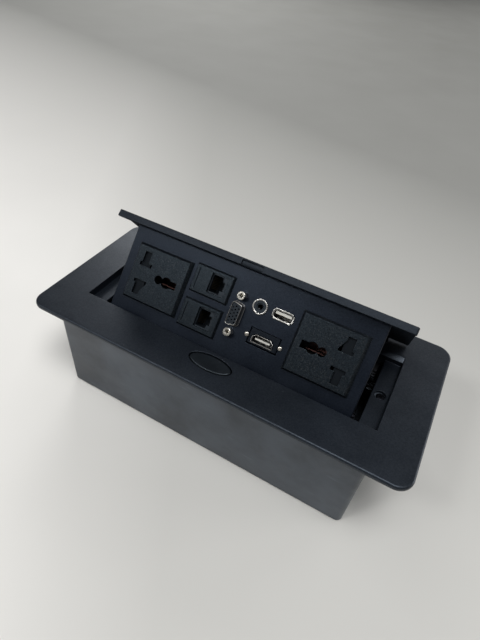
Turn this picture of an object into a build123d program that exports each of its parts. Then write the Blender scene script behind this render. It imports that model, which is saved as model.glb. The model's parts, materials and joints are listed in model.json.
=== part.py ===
from build123d import *
from math import acos, cos, pi, radians, sin, sqrt, tan
import os

os.makedirs("parts", exist_ok=True)

# A flush desk box with a flip-up socket panel, standing open as its spring leaves it.
# Millimetres. Origin at the centre of the box's underside, X along the long side,
# Y towards the hinge, Z up.

# Shared clearances
running_fit = 0.05
seat_gap = 0.3
slide_gap = 0.1

# Top frame: a thin plate with a deeper rim, a skirt round the opening and two end ledges
flange_end_reach = 23.8
flange_side_reach = 2.8
flange_corner = 10.0
flange_edge = 3.0
flange_plate = 2.4
flange_round = 1.6
rim_width = 2.6
opening_front = 31.2
opening_rear = 31.0
skirt_wall = 2.0
skirt_reach = 8.0
ledge_drop = 5.8
ledge_width = 11.0

# Hinge line and the travel of the flip-up module
open_angle = 50.5
pivot_setback = 10.4
pivot_depth = 17.1

# Bottom box, of folded sheet
box_gap = 0.3
box_room = 0.6
module_room = 3.573
box_corner = 4.0
box_wall = 1.2
box_bend = 1.8
tab_width = 20.0
tab_reach = 12.0
cable_hole_radius = 11.0
cable_hole_x = 58.0
cable_hole_z = 24.0
cable_bore_radius = 8.0
grommet_lip = 2.2
grommet_flange = 1.4
fixing_hole_radius = 2.1
fixing_hole_spacing = 70.0
fixing_hole_depth = 24.0

# Screws that hold the frame to the box
frame_screw_radius = 1.5
frame_screw_head_radius = 2.9
frame_screw_head = 1.1
frame_screw_length = 6.0
counterbore_radius = 3.6
counterbore_depth = 2.2
recess_share = 0.45
recess_depth_share = 0.6

# Lid
lid_end_gap = 1.3
lid_front_gap = 0.7
lid_plate = 2.2
lid_lip = 3.0
lid_lip_height = 4.8
lid_corner = 1.2
lid_edge = 0.4
groove_length = 15.0
groove_depth = 1.4
groove_top = 1.2
keeper_height = 1.1
keeper_step = 0.5

# Face panel, in the closed pose leaning forward at its top
face_end = 6.7
face_sheet = 2.0
face_lean = 10.9
face_border_low = 12.1
face_border_high = 11.7
lid_overhang = 6.5
module_gap = 5.0
face_edge = 0.4

# Housing behind the panel, with the side plates that carry it on the hinge
housing_wall = 1.5
housing_rear = 20.0
housing_bend = 6.0
housing_cable_radius = 7.0
housing_cable_x = 52.0
housing_cable_z = 24.0
housing_boss_radius = 3.2
housing_boss_length = 12.0
side_plate = 2.0
arm_root_low = 22.0
arm_root_high = 38.0
arm_boss_radius = 7.0
module_screw_radius = 1.3
module_screw_head_radius = 2.5
module_screw_head = 1.2
module_screw_length = 7.0
lid_screw_x = 70.0
lid_screw_y = 8.0
lid_screw_bite = 1.6

# Hinge pins, bushes and brackets
pin_radius = 2.5
pin_head_radius = 4.0
pin_head = 1.2
bush_wall = 1.5
clip_thickness = 0.8
clip_width = 1.6
bracket_sheet = 2.0
bracket_gap = 0.2
bracket_front_reach = 6.8
bracket_rear_reach = 10.6
bracket_foot = 10.0
bracket_boss_radius = 7.5
bracket_screw_radius = 1.3
bracket_screw_head_radius = 2.5
bracket_screw_head = 1.2
bracket_screw_bite = 1.6
bracket_screw_spacing = 10.0

# Torsion spring on the left pin
torsion_wire = 1.1
torsion_turns = 3
torsion_end_gap = 0.6
torsion_leg = 11.0

# Rotary damper: a toothed sector on the right arm turns a small pinion
gear_module = 0.8
sector_teeth = 40
pinion_teeth = 10
mesh_angle = -120.0
pressure_angle = 20.0
addendum_share = 0.9
dedendum_share = 1.2
backlash = 0.16
sector_width = 2.6
sector_cut = 10
sector_lead = 8
damper_radius = 8.0
damper_thickness = 6.5
damper_shaft_radius = 1.5
damper_ear = 3.6

# Push button and its sliding latch
button_length = 30.0
button_width = 12.4
button_setback = 9.1
button_gap = 0.5
button_skin = 1.0
button_travel = 1.6
button_core_length = 10.8
button_core_width = 5.0
button_leg = 1.2
button_barb = 2.2
latch_engagement = 1.1
latch_nose = 0.9
latch_nose_length = 14.0
latch_plate = 2.1
latch_width = 18.0
latch_rail = 2.9
latch_tail = 9.6
latch_tail_height = 3.4
latch_housing_length = 38.0
latch_housing_wall = 1.4
latch_housing_depth = 8.0
latch_housing_reach = 15.1
latch_ear = 8.0
latch_screw_radius = 1.2
latch_screw_head_radius = 2.3
latch_screw_head = 1.2
boss_radius = 2.8
button_spring_radius = 1.4
button_spring_wire = 0.4
button_spring_x = 10.8
button_spring_turns = 5
latch_spring_radius = 1.3
latch_spring_wire = 0.4
latch_spring_turns = 4

# Universal sockets, one at each end of the panel, their earth ends towards the middle
socket_spacing = 2.3
cover_length = 44.0
cover_width = 40.0
cover_top_length = 40.0
cover_top_width = 37.0
cover_raise = 3.0
cover_face = 1.6
cover_wall = 1.4
cover_skirt = 4.0
cover_skirt_length = 40.4
cover_skirt_width = 36.4
slot_width = 10.1
slot_height = 5.0
slot_r = 10.05
slot_u = -11.8
blade_width = 2.4
blade_height = 9.4
blade_r = 6.2
blade_u = -11.1
wedge_rise = 3.2
wedge_reach = 7.6
earth_round_radius = 3.8
earth_round_u = 8.2
earth_small_radius = 2.9
earth_small_u = 1.9
earth_slot_width = 4.8
earth_slot_height = 7.8
earth_slot_u = 11.9
socket_depth = 22.0
pocket_depth = 17.0
pocket_margin = 1.0
contact_sheet = 0.6
contact_grip = 3.8
contact_length = 12.0
contact_width = 8.0
earth_contact_length = 12.5
earth_contact_u = 7.0
tail_width = 5.0
tail_length = 5.0
shutter_thickness = 1.6
shutter_length = 7.6
shutter_end_gap = 3.0
shutter_side_gap = 0.2
shutter_bridge = 2.6
shutter_inner = 3.6
shutter_spring_radius = 0.75
shutter_spring_wire = 0.3
shutter_spring_turns = 6

# Network modules, one above the other
network_x = -23.1
network_pitch = 24.0
network_length = 29.2
network_height = 20.0
network_raise = 2.0
network_bevel = 1.2
network_skirt = 3.0
network_skirt_inset = 1.6
window_width = 11.7
window_height = 13.4
window_x = 4.15
window_s = 0.45
groove_line_x = -11.2
groove_line_width = 0.4
groove_line_height = 14.4
groove_line_depth = 0.4
jack_proud = 0.3
jack_depth = 19.0
jack_shoulder = 2.0
jack_mouth_left = -5.2
jack_mouth_right = 2.3
jack_mouth_height = 11.7
jack_mouth_depth = 13.0
jack_notch = 2.1
jack_notch_height = 6.2
wire_count = 8
wire_pitch = 1.02
wire_width = 0.4
wire_in = 2.2
wire_run = 7.0
wire_lean = 2.4

# Video socket with its two jack screws
video_x = -0.35
video_length = 16.0
video_width = 7.2
video_side_angle = 80.0
video_corner = 1.5
video_wall = 0.5
video_proud = 5.0
video_flare = 0.9
video_flare_height = 0.7
video_flange_length = 30.8
video_flange_width = 11.6
video_flange = 0.8
video_back_length = 17.5
video_back_depth = 7.0
video_inset = 0.5
video_hole_radius = 0.5
video_hole_depth = 4.0
video_hole_pitch = 2.29
video_stagger = 0.57
video_row_pitch = 1.98
jackscrew_spacing = 25.0
jackscrew_radius = 3.1
jackscrew_proud = 4.6
jackscrew_bore = 1.3
jackscrew_bore_depth = 3.6
jackscrew_shank = 1.5
jackscrew_length = 7.0
jackscrew_chamfer = 0.5

# Audio jack
audio_x = 13.0
audio_s = 10.4
audio_radius = 5.15
audio_ring = 1.05
audio_chamfer = 0.26
audio_proud = 0.9
audio_bore = 1.8
audio_bore_depth = 12.0
audio_mouth = 0.6
audio_body = 10.6
audio_depth = 14.0

# Charging socket
usb_x = 29.2
usb_s = 10.5
usb_length = 14.6
usb_height = 7.2
usb_corner = 1.8
usb_tube_length = 13.1
usb_tube_height = 5.7
usb_wall = 0.35
usb_proud = 0.8
usb_depth = 14.0
usb_tongue_length = 11.1
usb_tongue_height = 1.9
usb_tongue_s = 1.0
usb_tongue_back = 3.0
usb_tongue_in = 0.5

# Display socket on its recessed plate
hdmi_plate_x = 23.3
hdmi_plate_s = -8.75
hdmi_plate_length = 21.2
hdmi_plate_height = 10.8
hdmi_plate_recess = 0.8
hdmi_back_length = 28.6
hdmi_back = 1.4
hdmi_x = 22.6
hdmi_s = -9.7
hdmi_length = 15.0
hdmi_height = 5.6
hdmi_shoulder = 2.4
hdmi_shoulder_drop = 2.0
hdmi_wall = 0.5
hdmi_depth = 12.0
hdmi_tongue_length = 10.4
hdmi_tongue_height = 1.1
hdmi_tongue_back = 3.0
hdmi_tongue_in = 0.9
hdmi_screw_x = 11.75
hdmi_screw_s = -8.95
hdmi_screw_radius = 1.0
hdmi_screw_head_radius = 1.55
hdmi_screw_head = 0.9
hdmi_screw_length = 5.0

# Spans along the unit: the ports set the panel, and the panel sets the well, lid, box and flange
lean = radians(face_lean)
socket_x = cover_length / 2 + socket_spacing + network_length / 2 - network_x
face_length = 2 * (socket_x + face_end) + cover_length
well_length = face_length + 2 * module_gap
opening_length = well_length + 2 * ledge_width
lid_length = opening_length - 2 * lid_end_gap
box_length = opening_length + 2 * (skirt_wall + box_gap + box_wall)
flange_length = box_length + 2 * flange_end_reach

# Spans across it: the opening places the button and the hinge, which set the box and flange
lid_front = opening_front - lid_front_gap
lid_rear = opening_rear - seat_gap
pivot_y = opening_rear + pivot_setback
bracket_front = pivot_y - bracket_front_reach
bracket_rear = pivot_y + bracket_rear_reach
button_y = -opening_front - button_setback
latch_housing_rear = latch_housing_reach - button_y
box_width = 2 * (max(latch_housing_rear, bracket_rear) + box_room + box_wall)
flange_width = box_width + 2 * flange_side_reach

# Heights: the panel's height sets the depth of the box
face_low = cover_width / 2 + face_border_low
face_high = cover_width / 2 + face_border_high
face_rise = (face_low + face_high) * cos(lean) + face_sheet * sin(lean)
top_z = box_wall + module_room + face_rise + lid_plate
face_centre_y = lid_overhang - lid_front + face_high * sin(lean)
face_centre_z = top_z - lid_plate - face_high * cos(lean) - face_sheet * sin(lean)

# Levels and places that follow from the sizes above
rim_z = top_z - flange_edge
plate_z = top_z - flange_plate
skirt_z = top_z - skirt_reach
ledge_z = top_z - ledge_drop
pivot_z = top_z - pivot_depth
fixing_hole_z = top_z - fixing_hole_depth
opening_span = opening_front + opening_rear
opening_y = (opening_rear - opening_front) / 2
ledge_x = (opening_length - ledge_width) / 2
lid_under = top_z - lid_plate
lid_lip_z = top_z - lid_lip_height
lid_depth = lid_front + lid_rear
lid_mid_y = (lid_rear - lid_front) / 2
ramp_radius = sqrt((pivot_y - lid_rear) ** 2 + (lid_under - pivot_z) ** 2) - seat_gap
housing_half = face_length / 2 - side_plate
arm_x = face_length / 2
bracket_x = well_length / 2 + bracket_gap
bush_radius = pin_radius + running_fit + bush_wall
pinion_distance = gear_module * (sector_teeth + pinion_teeth) / 2
pinion_y = pivot_y + pinion_distance * cos(radians(mesh_angle))
pinion_z = pivot_z + pinion_distance * sin(radians(mesh_angle))


# Places in the module
def opened(x, y, z):
    """A point given in the closed pose, swung open about the hinge line."""
    dy, dz = y - pivot_y, z - pivot_z
    turn = radians(open_angle)
    return (x, pivot_y + dy * cos(turn) + dz * sin(turn), pivot_z - dy * sin(turn) + dz * cos(turn))


def swung(y, z):
    """A direction given in the closed pose, swung open with the module."""
    turn = radians(open_angle)
    return Vector(0, y * cos(turn) + z * sin(turn), z * cos(turn) - y * sin(turn))


def section(x=0.0):
    """The module's cross-section at x, drawn with the closed pose's Y and Z."""
    return Plane(origin=opened(x, 0, 0), x_dir=swung(1, 0), z_dir=(1, 0, 0))


def level(y, z):
    """A plane that lies flat in the closed pose, at closed height z."""
    return Plane(origin=opened(0, y, z), x_dir=(1, 0, 0), z_dir=swung(0, 1))


face_out = swung(-cos(lean), -sin(lean))
face_up = swung(-sin(lean), cos(lean))
face_middle = Vector(*opened(0, face_centre_y, face_centre_z))


def face(x=0.0, s=0.0, n=0.0):
    """A plane on the face panel: x along it, s up it and n in front of it."""
    return Plane(origin=face_middle + Vector(x, 0, 0) + face_up * s + face_out * n,
                 x_dir=(1, 0, 0), z_dir=face_out)


def stowed_face(s, n):
    """A point of the panel's side view, in the closed pose's Y and Z."""
    return (face_centre_y - s * sin(lean) - n * cos(lean), face_centre_z + s * cos(lean) - n * sin(lean))


def save(part, name):
    """Labels a finished piece and writes it."""
    part.label = name
    export_step(part, f"parts/{name}.step")


# Shared forms
def coil(at, radius, wire, turns, length):
    """A round wire wound up the plane's normal."""
    with BuildPart() as spring:
        with BuildLine(at) as path:
            Helix(pitch=length / turns, height=length, radius=radius, direction=at.z_dir)
        with BuildSketch(Plane(origin=path.line @ 0, z_dir=path.line % 0)):
            Circle(wire / 2)
        sweep(path=path.line)
    return spring.part


def screw(at, head_radius, head, radius, length):
    """A pan-head screw, its head on the plane and its shank below it."""
    with BuildPart() as fastener:
        with BuildSketch(at):
            Circle(head_radius)
        extrude(amount=head)
        with BuildSketch(at):
            Circle(radius)
        extrude(amount=-length)
        with BuildSketch(at.offset(head)):
            RegularPolygon(head_radius * recess_share, 6)
        extrude(amount=-head * recess_depth_share, mode=Mode.SUBTRACT)
    return fastener.part


def group(solids, name):
    """Writes like pieces as one node of separate solids."""
    save(Compound(children=solids), name)


def tooth_half_angle(teeth, radius):
    """Half the angle that a tooth spans at a radius, by the involute of the pitch circle."""
    pitch = gear_module * teeth / 2
    base = pitch * cos(radians(pressure_angle))
    roll = acos(min(1, base / radius))
    pitch_involute = tan(radians(pressure_angle)) - radians(pressure_angle)
    return pi / (2 * teeth) - backlash / (4 * pitch) + pitch_involute - (tan(roll) - roll)


def tooth_points(teeth, angle, centre, steps=3):
    """The outline of one tooth about a centre, counter-clockwise from root to root."""
    pitch = gear_module * teeth / 2
    base = pitch * cos(radians(pressure_angle))
    tip = pitch + gear_module * addendum_share
    root = pitch - gear_module * dedendum_share
    start = max(base, root)
    radii = [start + (tip - start) * i / steps for i in range(steps + 1)]
    if root < base:
        radii.insert(0, root)
    flank = [(r, tooth_half_angle(teeth, max(r, base))) for r in radii]
    rising = [(r, angle - half) for r, half in flank]
    falling = [(r, angle + half) for r, half in reversed(flank)]
    return [(centre[0] + r * cos(a), centre[1] + r * sin(a)) for r, a in rising + falling]


# Top frame
ramp_top_y = pivot_y - sqrt(ramp_radius**2 - pivot_depth**2)
ramp_low_z = pivot_z + sqrt(ramp_radius**2 - (pivot_y - opening_rear) ** 2)
bracket_screw_y = (bracket_front + bracket_rear) / 2
latch_boss_x = (latch_housing_length + latch_ear) / 2
nose_top = plate_z - seat_gap
nose_low = nose_top - latch_nose

with BuildPart() as frame:
    with BuildSketch(Plane.XY.offset(rim_z)):
        RectangleRounded(flange_length, flange_width, flange_corner)
    extrude(amount=flange_edge)
    fillet(frame.faces().sort_by(Axis.Z)[-1].edges(), flange_round)
    with BuildSketch(Plane.XY.offset(rim_z)):
        RectangleRounded(flange_length - 2 * rim_width, flange_width - 2 * rim_width,
                         flange_corner - rim_width)
    extrude(amount=plate_z - rim_z, mode=Mode.SUBTRACT)
    with BuildSketch(Plane.XY.offset(skirt_z)):
        with Locations((0, opening_y)):
            Rectangle(opening_length + 2 * skirt_wall, opening_span + 2 * skirt_wall)
    extrude(amount=plate_z - skirt_z)
    with BuildSketch(Plane.XY.offset(ledge_z)):
        with Locations((0, opening_y)):
            Rectangle(opening_length, opening_span)
    extrude(amount=top_z - ledge_z, mode=Mode.SUBTRACT)
    with BuildSketch(Plane.XY.offset(skirt_z)):
        with Locations((0, opening_y)):
            Rectangle(well_length, opening_span)
    extrude(amount=ledge_z - skirt_z, mode=Mode.SUBTRACT)
    # The rolled edge that the lid's rear swings round
    with BuildSketch(Plane.YZ):
        with Locations(((opening_rear + ramp_top_y) / 2, (ramp_low_z + top_z) / 2)):
            Rectangle(ramp_top_y - opening_rear, top_z - ramp_low_z)
        with Locations((pivot_y, pivot_z)):
            Circle(ramp_radius, mode=Mode.SUBTRACT)
    extrude(amount=opening_length / 2, both=True, mode=Mode.SUBTRACT)
    # Button hole, and the slot that the latch comes through
    with BuildSketch(Plane.XY.offset(plate_z)):
        with Locations((0, button_y)):
            Ellipse(button_length / 2 + button_gap, button_width / 2 + button_gap)
    extrude(amount=flange_plate, mode=Mode.SUBTRACT)
    with BuildSketch(Plane.XY.offset(nose_low - slide_gap)):
        with Locations((0, -opening_front - skirt_wall / 2)):
            Rectangle(latch_nose_length + 2 * seat_gap, skirt_wall)
    extrude(amount=plate_z - nose_low + slide_gap, mode=Mode.SUBTRACT)
    # Screws down to the box, through the ledges
    with Locations((ledge_x, 0, ledge_z), (-ledge_x, 0, ledge_z)):
        CounterBoreHole(frame_screw_radius + slide_gap, counterbore_radius, counterbore_depth)
    # Bosses for the latch housing, and blind holes for its screws and the brackets'
    with BuildSketch(Plane.XY.offset(plate_z)):
        with Locations((latch_boss_x, button_y), (-latch_boss_x, button_y)):
            Circle(boss_radius)
    extrude(amount=-latch_housing_depth + latch_housing_wall)
    with BuildSketch(Plane.XY.offset(plate_z - latch_housing_depth + latch_housing_wall)):
        with Locations((latch_boss_x, button_y), (-latch_boss_x, button_y)):
            Circle(latch_screw_radius)
    extrude(amount=latch_housing_depth - latch_housing_wall, mode=Mode.SUBTRACT)
    with BuildSketch(Plane.XY.offset(plate_z)):
        for side in (-1, 1):
            with Locations((side * (bracket_x + bracket_foot / 2 + bracket_sheet / 2), bracket_screw_y)):
                with GridLocations(0, bracket_screw_spacing, 1, 2):
                    Circle(bracket_screw_radius)
    extrude(amount=bracket_screw_bite, mode=Mode.SUBTRACT)
save(frame.part, "frame")

# Bottom box
tab_z = skirt_z - box_wall
with BuildPart() as bottom_box:
    with BuildSketch():
        RectangleRounded(box_length, box_width, box_corner)
    extrude(amount=plate_z)
    fillet(bottom_box.faces().sort_by(Axis.Z)[0].edges(), box_bend)
    offset(amount=-box_wall, openings=bottom_box.faces().sort_by(Axis.Z)[-1])
    with BuildSketch(Plane.XY.offset(tab_z)):
        for side in (-1, 1):
            with Locations((side * (box_length / 2 - box_wall / 2 - tab_reach / 2), 0)):
                Rectangle(tab_reach + box_wall, tab_width)
    extrude(amount=box_wall)
    with BuildSketch(Plane.XY.offset(tab_z)):
        with Locations((ledge_x, 0), (-ledge_x, 0)):
            Circle(frame_screw_radius + running_fit)
    extrude(amount=box_wall, mode=Mode.SUBTRACT)
    with BuildSketch(Plane.XZ.offset(-box_width / 2 + box_wall)):
        with Locations((cable_hole_x, cable_hole_z), (-cable_hole_x, cable_hole_z)):
            Circle(cable_hole_radius)
    extrude(amount=-box_wall, mode=Mode.SUBTRACT)
    with BuildSketch(Plane.YZ):
        with Locations((0, fixing_hole_z)):
            with GridLocations(fixing_hole_spacing, 0, 2, 1):
                Circle(fixing_hole_radius)
    extrude(amount=box_length, both=True, mode=Mode.SUBTRACT)
save(bottom_box.part, "bottom_box")

with BuildPart() as cable_grommets:
    for side in (-1, 1):
        centre = (side * cable_hole_x, (box_width - box_wall) / 2, cable_hole_z)
        sleeve = cable_hole_radius - slide_gap
        with BuildSketch(Plane(origin=centre, x_dir=(1, 0, 0), z_dir=(0, 0, 1))):
            with Locations(((cable_bore_radius + sleeve) / 2, 0)):
                Rectangle(sleeve - cable_bore_radius, box_wall)
            reach = cable_hole_radius + grommet_lip
            for end in (-1, 1):
                with Locations(((cable_bore_radius + reach) / 2, end * (box_wall + grommet_flange) / 2)):
                    Rectangle(reach - cable_bore_radius, grommet_flange)
        revolve(axis=Axis(centre, (0, 1, 0)))
save(cable_grommets.part, "cable_grommets")

frame_screw_z = ledge_z - counterbore_depth
group([screw(Plane(origin=(side * ledge_x, 0, frame_screw_z)), frame_screw_head_radius,
             frame_screw_head, frame_screw_radius, frame_screw_length) for side in (-1, 1)],
      "frame_screws")

# Hinge brackets, under the rear corners of the frame


def hinge_bracket(side, carries_damper):
    """A folded plate: a foot under the frame and a leg with the pin's hole."""
    leg = Plane(origin=(side * bracket_x, 0, 0), x_dir=(0, 1, 0), z_dir=(1, 0, 0))
    foot_x = side * (bracket_x + bracket_sheet / 2 + bracket_foot / 2)
    with BuildPart() as bracket:
        with BuildSketch(leg):
            with BuildLine():
                Polyline((bracket_front, plate_z), (pivot_y - bracket_boss_radius, pivot_z),
                         (pivot_y + bracket_boss_radius, pivot_z), (bracket_rear, plate_z), close=True)
            make_face()
            with Locations((pivot_y, pivot_z)):
                Circle(bracket_boss_radius)
        extrude(amount=side * bracket_sheet)
        if carries_damper:
            with BuildSketch(leg):
                with BuildLine():
                    CenterArc((pinion_y, pinion_z), damper_radius + damper_ear, 0, 360)
                    CenterArc((pivot_y, pivot_z), bracket_boss_radius, 0, 360)
                make_hull()
            extrude(amount=side * bracket_sheet)
            with BuildSketch(leg):
                with Locations((pinion_y, pinion_z)):
                    Circle(damper_shaft_radius + 2 * running_fit)
            extrude(amount=side * bracket_sheet, mode=Mode.SUBTRACT)
        with BuildSketch(Plane.XY.offset(plate_z)):
            with Locations((foot_x, (bracket_front + bracket_rear) / 2)):
                Rectangle(bracket_foot + bracket_sheet, bracket_rear - bracket_front)
        extrude(amount=-bracket_sheet)
        with BuildSketch(leg):
            with Locations((pivot_y, pivot_z)):
                Circle(pin_radius)
        extrude(amount=side * bracket_sheet, mode=Mode.SUBTRACT)
        with BuildSketch(Plane.XY.offset(plate_z)):
            with Locations((foot_x, bracket_screw_y)):
                with GridLocations(0, bracket_screw_spacing, 1, 2):
                    Circle(bracket_screw_radius + running_fit)
        extrude(amount=-bracket_sheet, mode=Mode.SUBTRACT)
    return bracket.part


save(hinge_bracket(-1, False), "hinge_bracket_left")
save(hinge_bracket(1, True), "hinge_bracket_right")

bracket_screws = []
for side in (-1, 1):
    for end in (-1, 1):
        place = (side * (bracket_x + bracket_sheet / 2 + bracket_foot / 2),
                 bracket_screw_y + end * bracket_screw_spacing / 2, plate_z - bracket_sheet)
        bracket_screws.append(screw(Plane(origin=place, z_dir=(0, 0, -1)), bracket_screw_head_radius,
                                    bracket_screw_head, bracket_screw_radius,
                                    bracket_sheet + bracket_screw_bite))
group(bracket_screws, "bracket_screws")

# Hinge pins, with the clips at their inner ends and the bushes that turn on them
pin_outer = bracket_x + bracket_sheet
pin_inner = housing_half - clip_thickness - 2 * seat_gap


def on_hinge(side, x):
    """A plane across the hinge line, facing outwards on one side."""
    return Plane(origin=(side * x, pivot_y, pivot_z), z_dir=(side, 0, 0))


pin_clips = []
for side, name in ((-1, "left"), (1, "right")):
    with BuildPart() as hinge_pin:
        with BuildSketch(on_hinge(side, pin_inner)):
            Circle(pin_radius)
        extrude(amount=pin_outer - pin_inner)
        with BuildSketch(on_hinge(side, pin_outer)):
            Circle(pin_head_radius)
        extrude(amount=pin_head)
    save(hinge_pin.part, f"hinge_pin_{name}")
    with BuildPart() as clip:
        with BuildSketch(on_hinge(side, pin_inner)):
            Circle(pin_radius + clip_width)
            Circle(pin_radius, mode=Mode.SUBTRACT)
            with Locations((pin_radius + clip_width / 2, 0)):
                Rectangle(2 * clip_width, pin_radius, mode=Mode.SUBTRACT)
        extrude(amount=clip_thickness)
    pin_clips.append(clip.part)
    with BuildPart() as pivot_bush:
        with BuildSketch(on_hinge(side, housing_half - seat_gap)):
            Circle(bush_radius)
            Circle(pin_radius + running_fit, mode=Mode.SUBTRACT)
        extrude(amount=bracket_x - housing_half)
    save(pivot_bush.part, f"pivot_bush_{name}")
group(pin_clips, "pin_clips")

# Torsion spring round the left bush, one leg on the arm and one on the bracket
torsion_room = bracket_x - arm_x - 2 * torsion_end_gap
torsion_radius = bush_radius + seat_gap + torsion_wire
torsion_plane = Plane(origin=(-bracket_x + torsion_end_gap + torsion_wire / 2, pivot_y, pivot_z),
                      x_dir=(0, -1, 0), z_dir=(1, 0, 0))
with BuildPart() as torsion_spring:
    with BuildLine(torsion_plane) as torsion_path:
        wound = Helix(pitch=(torsion_room - torsion_wire) / torsion_turns,
                      height=torsion_room - torsion_wire, radius=torsion_radius,
                      direction=torsion_plane.z_dir)
        Line(wound @ 0, (wound @ 0) - (wound % 0) * torsion_leg)
        Line(wound @ 1, (wound @ 1) + (wound % 1) * torsion_leg)
    leg_end = (wound @ 0) - (wound % 0) * torsion_leg
    with BuildSketch(Plane(origin=leg_end, z_dir=wound % 0)):
        Circle(torsion_wire / 2)
    sweep(path=torsion_path.line)
save(torsion_spring.part, "torsion_spring")

# Toothed sector on the right arm, meshing with the damper's pinion at mesh_angle
with BuildPart() as sector_gear:
    with BuildSketch(Plane(origin=(arm_x, 0, 0), x_dir=(0, 1, 0), z_dir=(1, 0, 0))):
        outline = []
        for index in range(-sector_lead, sector_cut - sector_lead):
            angle = radians(mesh_angle) + 2 * pi * index / sector_teeth
            outline += tooth_points(sector_teeth, angle, (pivot_y, pivot_z))
        with BuildLine():
            Polyline(*outline, (pivot_y, pivot_z), close=True)
        make_face()
        with Locations((pivot_y, pivot_z)):
            Circle(arm_boss_radius)
            Circle(bush_radius + slide_gap, mode=Mode.SUBTRACT)
    extrude(amount=sector_width)
save(sector_gear.part, "sector_gear")

with BuildPart() as damper_pinion:
    with BuildSketch(Plane(origin=(arm_x + seat_gap, 0, 0), x_dir=(0, 1, 0), z_dir=(1, 0, 0))):
        outline = []
        for index in range(pinion_teeth):
            angle = radians(mesh_angle) + pi + (2 * index + 1) * pi / pinion_teeth
            outline += tooth_points(pinion_teeth, angle, (pinion_y, pinion_z))
        with BuildLine():
            Polyline(*outline, close=True)
        make_face()
    extrude(amount=bracket_x - arm_x - 2 * seat_gap)
    with BuildSketch(Plane(origin=(bracket_x - seat_gap, pinion_y, pinion_z), z_dir=(1, 0, 0))):
        Circle(damper_shaft_radius)
    extrude(amount=seat_gap + bracket_sheet + damper_thickness / 2)
save(damper_pinion.part, "damper_pinion")

damper_face = Plane(origin=(bracket_x + bracket_sheet, pinion_y, pinion_z), x_dir=(0, 1, 0),
                    z_dir=(1, 0, 0))
with BuildPart() as damper_body:
    with BuildSketch(damper_face):
        Circle(damper_radius)
    extrude(amount=damper_thickness)
    fillet(damper_body.faces().sort_by(Axis.X)[-1].edges(), bush_wall)
    with BuildSketch(damper_face):
        SlotOverall(2 * (damper_radius + damper_ear), 2 * damper_ear)
    extrude(amount=bracket_sheet)
    with BuildSketch(damper_face):
        Circle(damper_shaft_radius + running_fit)
    extrude(amount=damper_thickness / 2 + seat_gap, mode=Mode.SUBTRACT)
save(damper_body.part, "damper_body")

# Push button: an oval cap with a wedge that drives the latch back, and two barbed legs
core_front = button_y + button_core_width / 2
core_rear = button_y - button_core_width / 2
core_low = nose_top - latch_plate - seat_gap
barb_top = plate_z - seat_gap
barb_low = barb_top - latch_nose
leg_x = button_length / 2 - button_leg
with BuildPart() as button_cap:
    with BuildSketch(Plane.XY.offset(top_z)):
        with Locations((0, button_y)):
            Ellipse(button_length / 2, button_width / 2)
    extrude(amount=-button_skin)
    with BuildSketch(Plane.YZ):
        with BuildLine():
            Polyline((core_front, top_z - button_skin), (core_front, core_low),
                     (core_rear + latch_plate, core_low), (core_rear, core_low + latch_plate),
                     (core_rear, top_z - button_skin), close=True)
        make_face()
    extrude(amount=button_core_length / 2, both=True)
    for side in (-1, 1):
        with BuildSketch(Plane.XZ.offset(-button_y)):
            with BuildLine():
                Polyline((side * (leg_x - button_leg), top_z - button_skin),
                         (side * leg_x, top_z - button_skin), (side * leg_x, barb_top),
                         (side * (leg_x + button_barb), barb_top), (side * leg_x, barb_low),
                         (side * (leg_x - button_leg), barb_low), close=True)
            make_face()
        extrude(amount=button_leg, both=True)
save(button_cap.part, "button_cap")

# Latch slider: a plate with a window for the wedge, a nose at the front and a tail behind
nose_tip = -lid_front + latch_engagement
plate_low = nose_top - latch_plate
window_rear = core_rear - slide_gap * sqrt(2)
slider_rear = window_rear - latch_rail
with BuildPart() as latch_slider:
    with BuildSketch(Plane.XY.offset(plate_low)):
        with Locations((0, (slider_rear - opening_front - skirt_wall - 2 * seat_gap) / 2)):
            Rectangle(latch_width, -opening_front - skirt_wall - 2 * seat_gap - slider_rear)
    extrude(amount=latch_plate)
    with BuildSketch(Plane.XY.offset(nose_low)):
        with Locations((0, (nose_tip - opening_front - skirt_wall - latch_plate) / 2)):
            Rectangle(latch_nose_length, nose_tip + opening_front + skirt_wall + latch_plate)
    extrude(amount=latch_nose)
    with BuildSketch(Plane.XY.offset(plate_low)):
        with Locations((0, slider_rear + latch_rail / 2)):
            Rectangle(latch_tail, latch_rail)
    extrude(amount=-latch_tail_height)
    # The window, its rear end sloped at 45 degrees to match the wedge
    with BuildSketch(Plane.YZ):
        with BuildLine():
            Polyline((core_front + button_travel + seat_gap, nose_top),
                     (core_front + button_travel + seat_gap, plate_low),
                     (window_rear + latch_plate - seat_gap, plate_low),
                     (window_rear - seat_gap, nose_top), close=True)
        make_face()
    extrude(amount=button_core_length / 2 + seat_gap, both=True, mode=Mode.SUBTRACT)
save(latch_slider.part, "latch_slider")

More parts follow.
